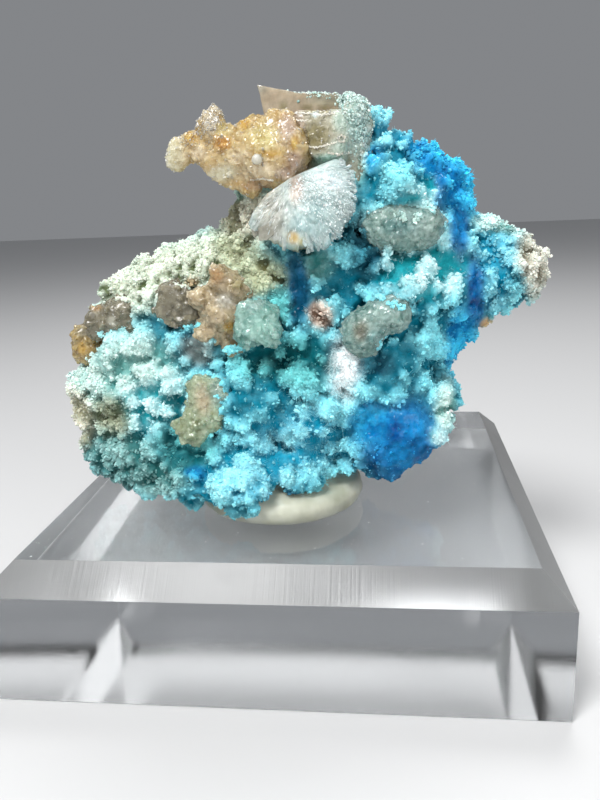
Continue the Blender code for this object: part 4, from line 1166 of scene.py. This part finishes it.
# The smaller crystals: node, slot, plain palette, roughness, transmission, fused crystals, round or not, patches
SMALL_CRYSTALS = {
    "smoky_spray": ("smoky_crystal_spray", "smoky_crystal", "rosy brown", 0.22, 0.3, (520, (0.12, 0.4)), False, [
        ("olive smoke", -3.2, 35.4, 0.7, 0.6), ("gold", -4.2, 31.4, 0.5, 0.6), ("rosy silver", -4.5, 33.9, 0.9, 0.8),
        ("tan", -5.2, 36.2, 0.7, 0.7),
    ]),
    "pale_green": ("pale_green_crystals", "pale_green_crystal", "glass green", 0.14, 0.4, (90, (0.12, 0.4)), False, [
        ("aqua sugar", -1.6, 33.4, 1.6, 0.5),
    ]),
    "smoky_wall": ("smoky_wall_crystal", "grey_smoky_crystal", "grey brown", 0.24, 0.35, (160, (0.15, 0.45)), False, []),
    "smoky_corner": ("smoky_corner_crystal", "grey_smoky_crystal", "grey brown", 0.2, 0.4, (140, (0.15, 0.5)), False, [
        ("tan", -17.0, 33.6, 0.5, 0.4), ("quartz", -15.6, 32.2, 0.5, 0.4),
    ]),
    "amber_corner": ("amber_corner_crystal", "brown_amber_crystal", "brown amber", 0.18, 0.4, (50, (0.2, 0.6)), False, [
        ("gold", -18.9, 29.6, 0.5, 0.6), ("grey brown", -18.4, 31.2, 1.0, 0.6),
    ]),
    "green_blade": ("green_blade_crystal", "green_crystal", "olive green", 0.18, 0.4, (180, (0.12, 0.45)), False, [
        ("beige blade", -7.4, 24.4, 0.8, 1.6), ("mint glass", -5.9, 25.0, 0.8, 1.4), ("aqua sugar", -5.2, 23.8, 0.8, 1.2),
        ("white", -4.8, 24.4, 0.4, 0.4),
    ]),
    "dome_upper": ("grey_dome_upper", "grey_green_crystal", "frosted grey", 0.22, 0.45, (260, (0.12, 0.34)), True, [
        ("sea green", 11.6, 40.0, 1.6, 0.8), ("aqua sugar", 13.0, 41.0, 1.4, 0.6),
    ]),
    "dome_lower": ("grey_dome_lower", "grey_green_crystal", "frosted grey", 0.22, 0.45, (260, (0.12, 0.34)), True, [
        ("grey brown", 8.0, 30.8, 0.7, 1.0), ("sea green", 9.2, 30.2, 0.8, 0.6), ("aqua sugar", 10.6, 33.2, 1.2, 0.6),
    ]),
}


def crystals():
    """All the crystals that sit in the crust."""
    sugar = tinted_material("sugar", Roughness=0.35, IOR=1.5, Specular_IOR_Level=0.3, Subsurface_Weight=0.5,
                            Subsurface_Radius=(0.6, 0.8, 0.9), Subsurface_Scale=0.6 * MM)
    arm(sugar)
    head(sugar)
    rosette(sugar)
    for name, (node, slot, plain, roughness, transmission, grown, rounded, patches) in SMALL_CRYSTALS.items():
        material = crystal_material(name, roughness, transmission, 0.65, (5200.0, 0.45, 0.05))
        shape = ball_shape(1) if rounded else cube_shape()
        skin = crystal_skin(name, node, slot, material, patches, plain, grown, shape)
        even = np.ones(len(skin[0]))
        dust(name + "_grains", skin, even, 500, (0.025, 0.07), slot, material, 0.25)


def putty():
    """The putty pad, slightly uneven, with a waxy cream translucence."""
    material, tree, shader = new_material(
        "putty", Roughness=0.42, IOR=1.45, Subsurface_Weight=0.6, Subsurface_Radius=(1.0, 0.9, 0.7),
        Subsurface_Scale=1.2 * MM,
    )
    drift = range_node(tree, noise_node(tree, 260.0), 0.3, 0.7)
    colour = mix_node(tree, "MIX", drift, srgb(164, 166, 148), srgb(202, 204, 190))
    tree.links.new(colour, shader.inputs["Base Color"])
    add_bump(tree, shader, noise_node(tree, 1500.0), 0.3, 0.1)
    places, normals, faces = one_skin(*node_arrays("mounting_putty"), 0.3)
    places = places + normals * (0.12 * layered_noise(places, 3.0, 51))[:, None]
    places[:, 2] = np.maximum(places[:, 2], BLOCK_TOP + 0.02)
    ride_root(object_from_arrays("putty", places, faces, material, None, True), "mounting_putty", "mounting_putty")


def block():
    """The clear acrylic block keeps its solid: softened edges, milled bevels, a dusty and lightly scratched top."""
    material, tree, shader = new_material(
        "acrylic", IOR=1.49, Transmission_Weight=1.0, Base_Color=(0.97, 0.985, 0.99, 1.0),
    )
    geometry = tree.nodes.new("ShaderNodeNewGeometry")
    parts = tree.nodes.new("ShaderNodeSeparateXYZ")
    tree.links.new(geometry.outputs["True Normal"], parts.inputs["Vector"])
    slope = range_node(tree, parts.outputs["Z"], 0.9, 0.72)
    lift = range_node(tree, parts.outputs["Z"], 0.4, 0.6)
    bevels = math_node(tree, "MULTIPLY", slope, lift)
    smears = range_node(tree, noise_node(tree, 130.0, 4.0, 0.7), 0.5, 0.72, 0.0, 0.05)
    wear = math_node(tree, "ADD", smears, range_node(tree, bevels, 0.0, 1.0, 0.02, 0.3))
    tree.links.new(wear, shader.inputs["Roughness"])
    tree.links.new(range_node(tree, bevels, 0.0, 1.0, 1.0, 0.5), shader.inputs["Transmission Weight"])
    # The bevels' grey base colour is partly the milled frost and partly painted shade that dims them, with a lower
    # specular level as well
    frost_and_shade = mix_node(tree, "MIX", bevels, srgb(250, 252, 253), srgb(128, 129, 129))
    tree.links.new(frost_and_shade, shader.inputs["Base Color"])
    tree.links.new(range_node(tree, bevels, 0.0, 1.0, 0.5, 0.1), shader.inputs["Specular IOR Level"])
    along = math_node(tree, "GREATER_THAN", math_node(tree, "ABSOLUTE", parts.outputs["Y"]), 0.5)
    across_x = noise_node(tree, 4200.0, 2.0, stretch=(1.0, 0.01, 0.01))
    across_y = noise_node(tree, 4200.0, 2.0, stretch=(0.01, 1.0, 0.01))
    ridges = mix_node(tree, "MIX", along, across_y, across_x)
    milled = mix_node(tree, "MULTIPLY", 1.0, ridges, range_node(tree, bevels, 0.0, 1.0, 0.02, 1.0))
    scratches = noise_node(tree, 500.0, 2.0, 0.6, 1.5, (1.0, 14.0, 1.0))
    relief = mix_node(tree, "ADD", 0.12, milled, scratches)
    add_bump(tree, shader, relief, 0.3, 0.05)
    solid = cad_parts["display_block"]
    solid.data.materials.clear()
    solid.data.materials.append(material)
    soften = solid.modifiers.new("softened edges", "BEVEL")
    soften.width = 0.16 * MM
    soften.segments = 2

    chance = np.random.default_rng(91)
    count = int(600 * FEWER)
    flat = 22.4
    spots = np.column_stack((chance.uniform(-flat, flat, size=(count, 2)), np.full(count, BLOCK_TOP + 0.02)))
    sizes = 0.015 + 0.05 * chance.random((count, 1)) ** 3
    scales = sizes * chance.uniform(0.6, 2.2, size=(count, 3))
    scales[:, 2] = 0.02
    lint, _, _ = new_material("lint", Roughness=0.7, Base_Color=(*srgb(226, 228, 226), 1.0))
    places, faces = stamped(eight_sided_shape(), spots, scales, turns_towards(np.tile((0.0, 0.0, 1.0), (count, 1)), chance), chance)
    ride_root(object_from_arrays("block_lint", places, faces, lint), "clear_acrylic")


# Stage

def lamp(name, place, size, power):
    """A soft square lamp aimed at the specimen's middle, in millimetres and watts."""
    light = bpy.data.lights.new(name, "AREA")
    light.size = size * MM
    light.energy = power
    made = bpy.data.objects.new(name, light)
    made.location = Vector(place) * MM
    made.rotation_euler = (Vector((0.0, -8.0, 30.0)) - Vector(place)).to_track_quat("-Z", "Y").to_euler()
    bpy.context.scene.collection.objects.link(made)


def stage():
    """Pale floor, soft lights and the photograph's camera."""
    floor_material, _, _ = new_material("floor", Roughness=0.6, Base_Color=(0.6, 0.6, 0.6, 1.0))
    corners = np.array([(-900, -900, -0.1), (900, -900, -0.1), (900, 900, -0.1), (-900, 900, -0.1)], float)
    object_from_arrays("floor", corners, np.array([(0, 1, 2, 3)]), floor_material)

    world = bpy.data.worlds.new("studio")
    world.use_nodes = True
    sky = world.node_tree.nodes["Background"]
    sky.inputs["Color"].default_value = (0.92, 0.95, 1.0, 1.0)
    sky.inputs["Strength"].default_value = 0.25
    bpy.context.scene.world = world

    lamp("key", (-70, -160, 260), 90, 0.95)
    lamp("fill", (120, -220, 110), 160, 0.31)
    lamp("rim", (50, 130, 320), 120, 0.5)

    camera = bpy.data.cameras.new("camera")
    camera.lens = LENS
    camera.clip_start = 0.001
    made = bpy.data.objects.new("camera", camera)
    right = Vector((math.cos(YAW), -math.sin(YAW), 0.0))
    forward = Vector((math.sin(YAW) * math.cos(PITCH), math.cos(YAW) * math.cos(PITCH), -math.sin(PITCH)))
    up = right.cross(forward)
    side = math.cos(ROLL) * right + math.sin(ROLL) * up
    top = -math.sin(ROLL) * right + math.cos(ROLL) * up
    made.matrix_world = Matrix.Translation(Vector(EYE) * MM) @ Matrix((side, top, -forward)).transposed().to_4x4()
    bpy.context.scene.collection.objects.link(made)
    bpy.context.scene.camera = made
    bpy.context.scene.view_settings.view_transform = "Standard"


stage()
block()
putty()
crystals()
crust()
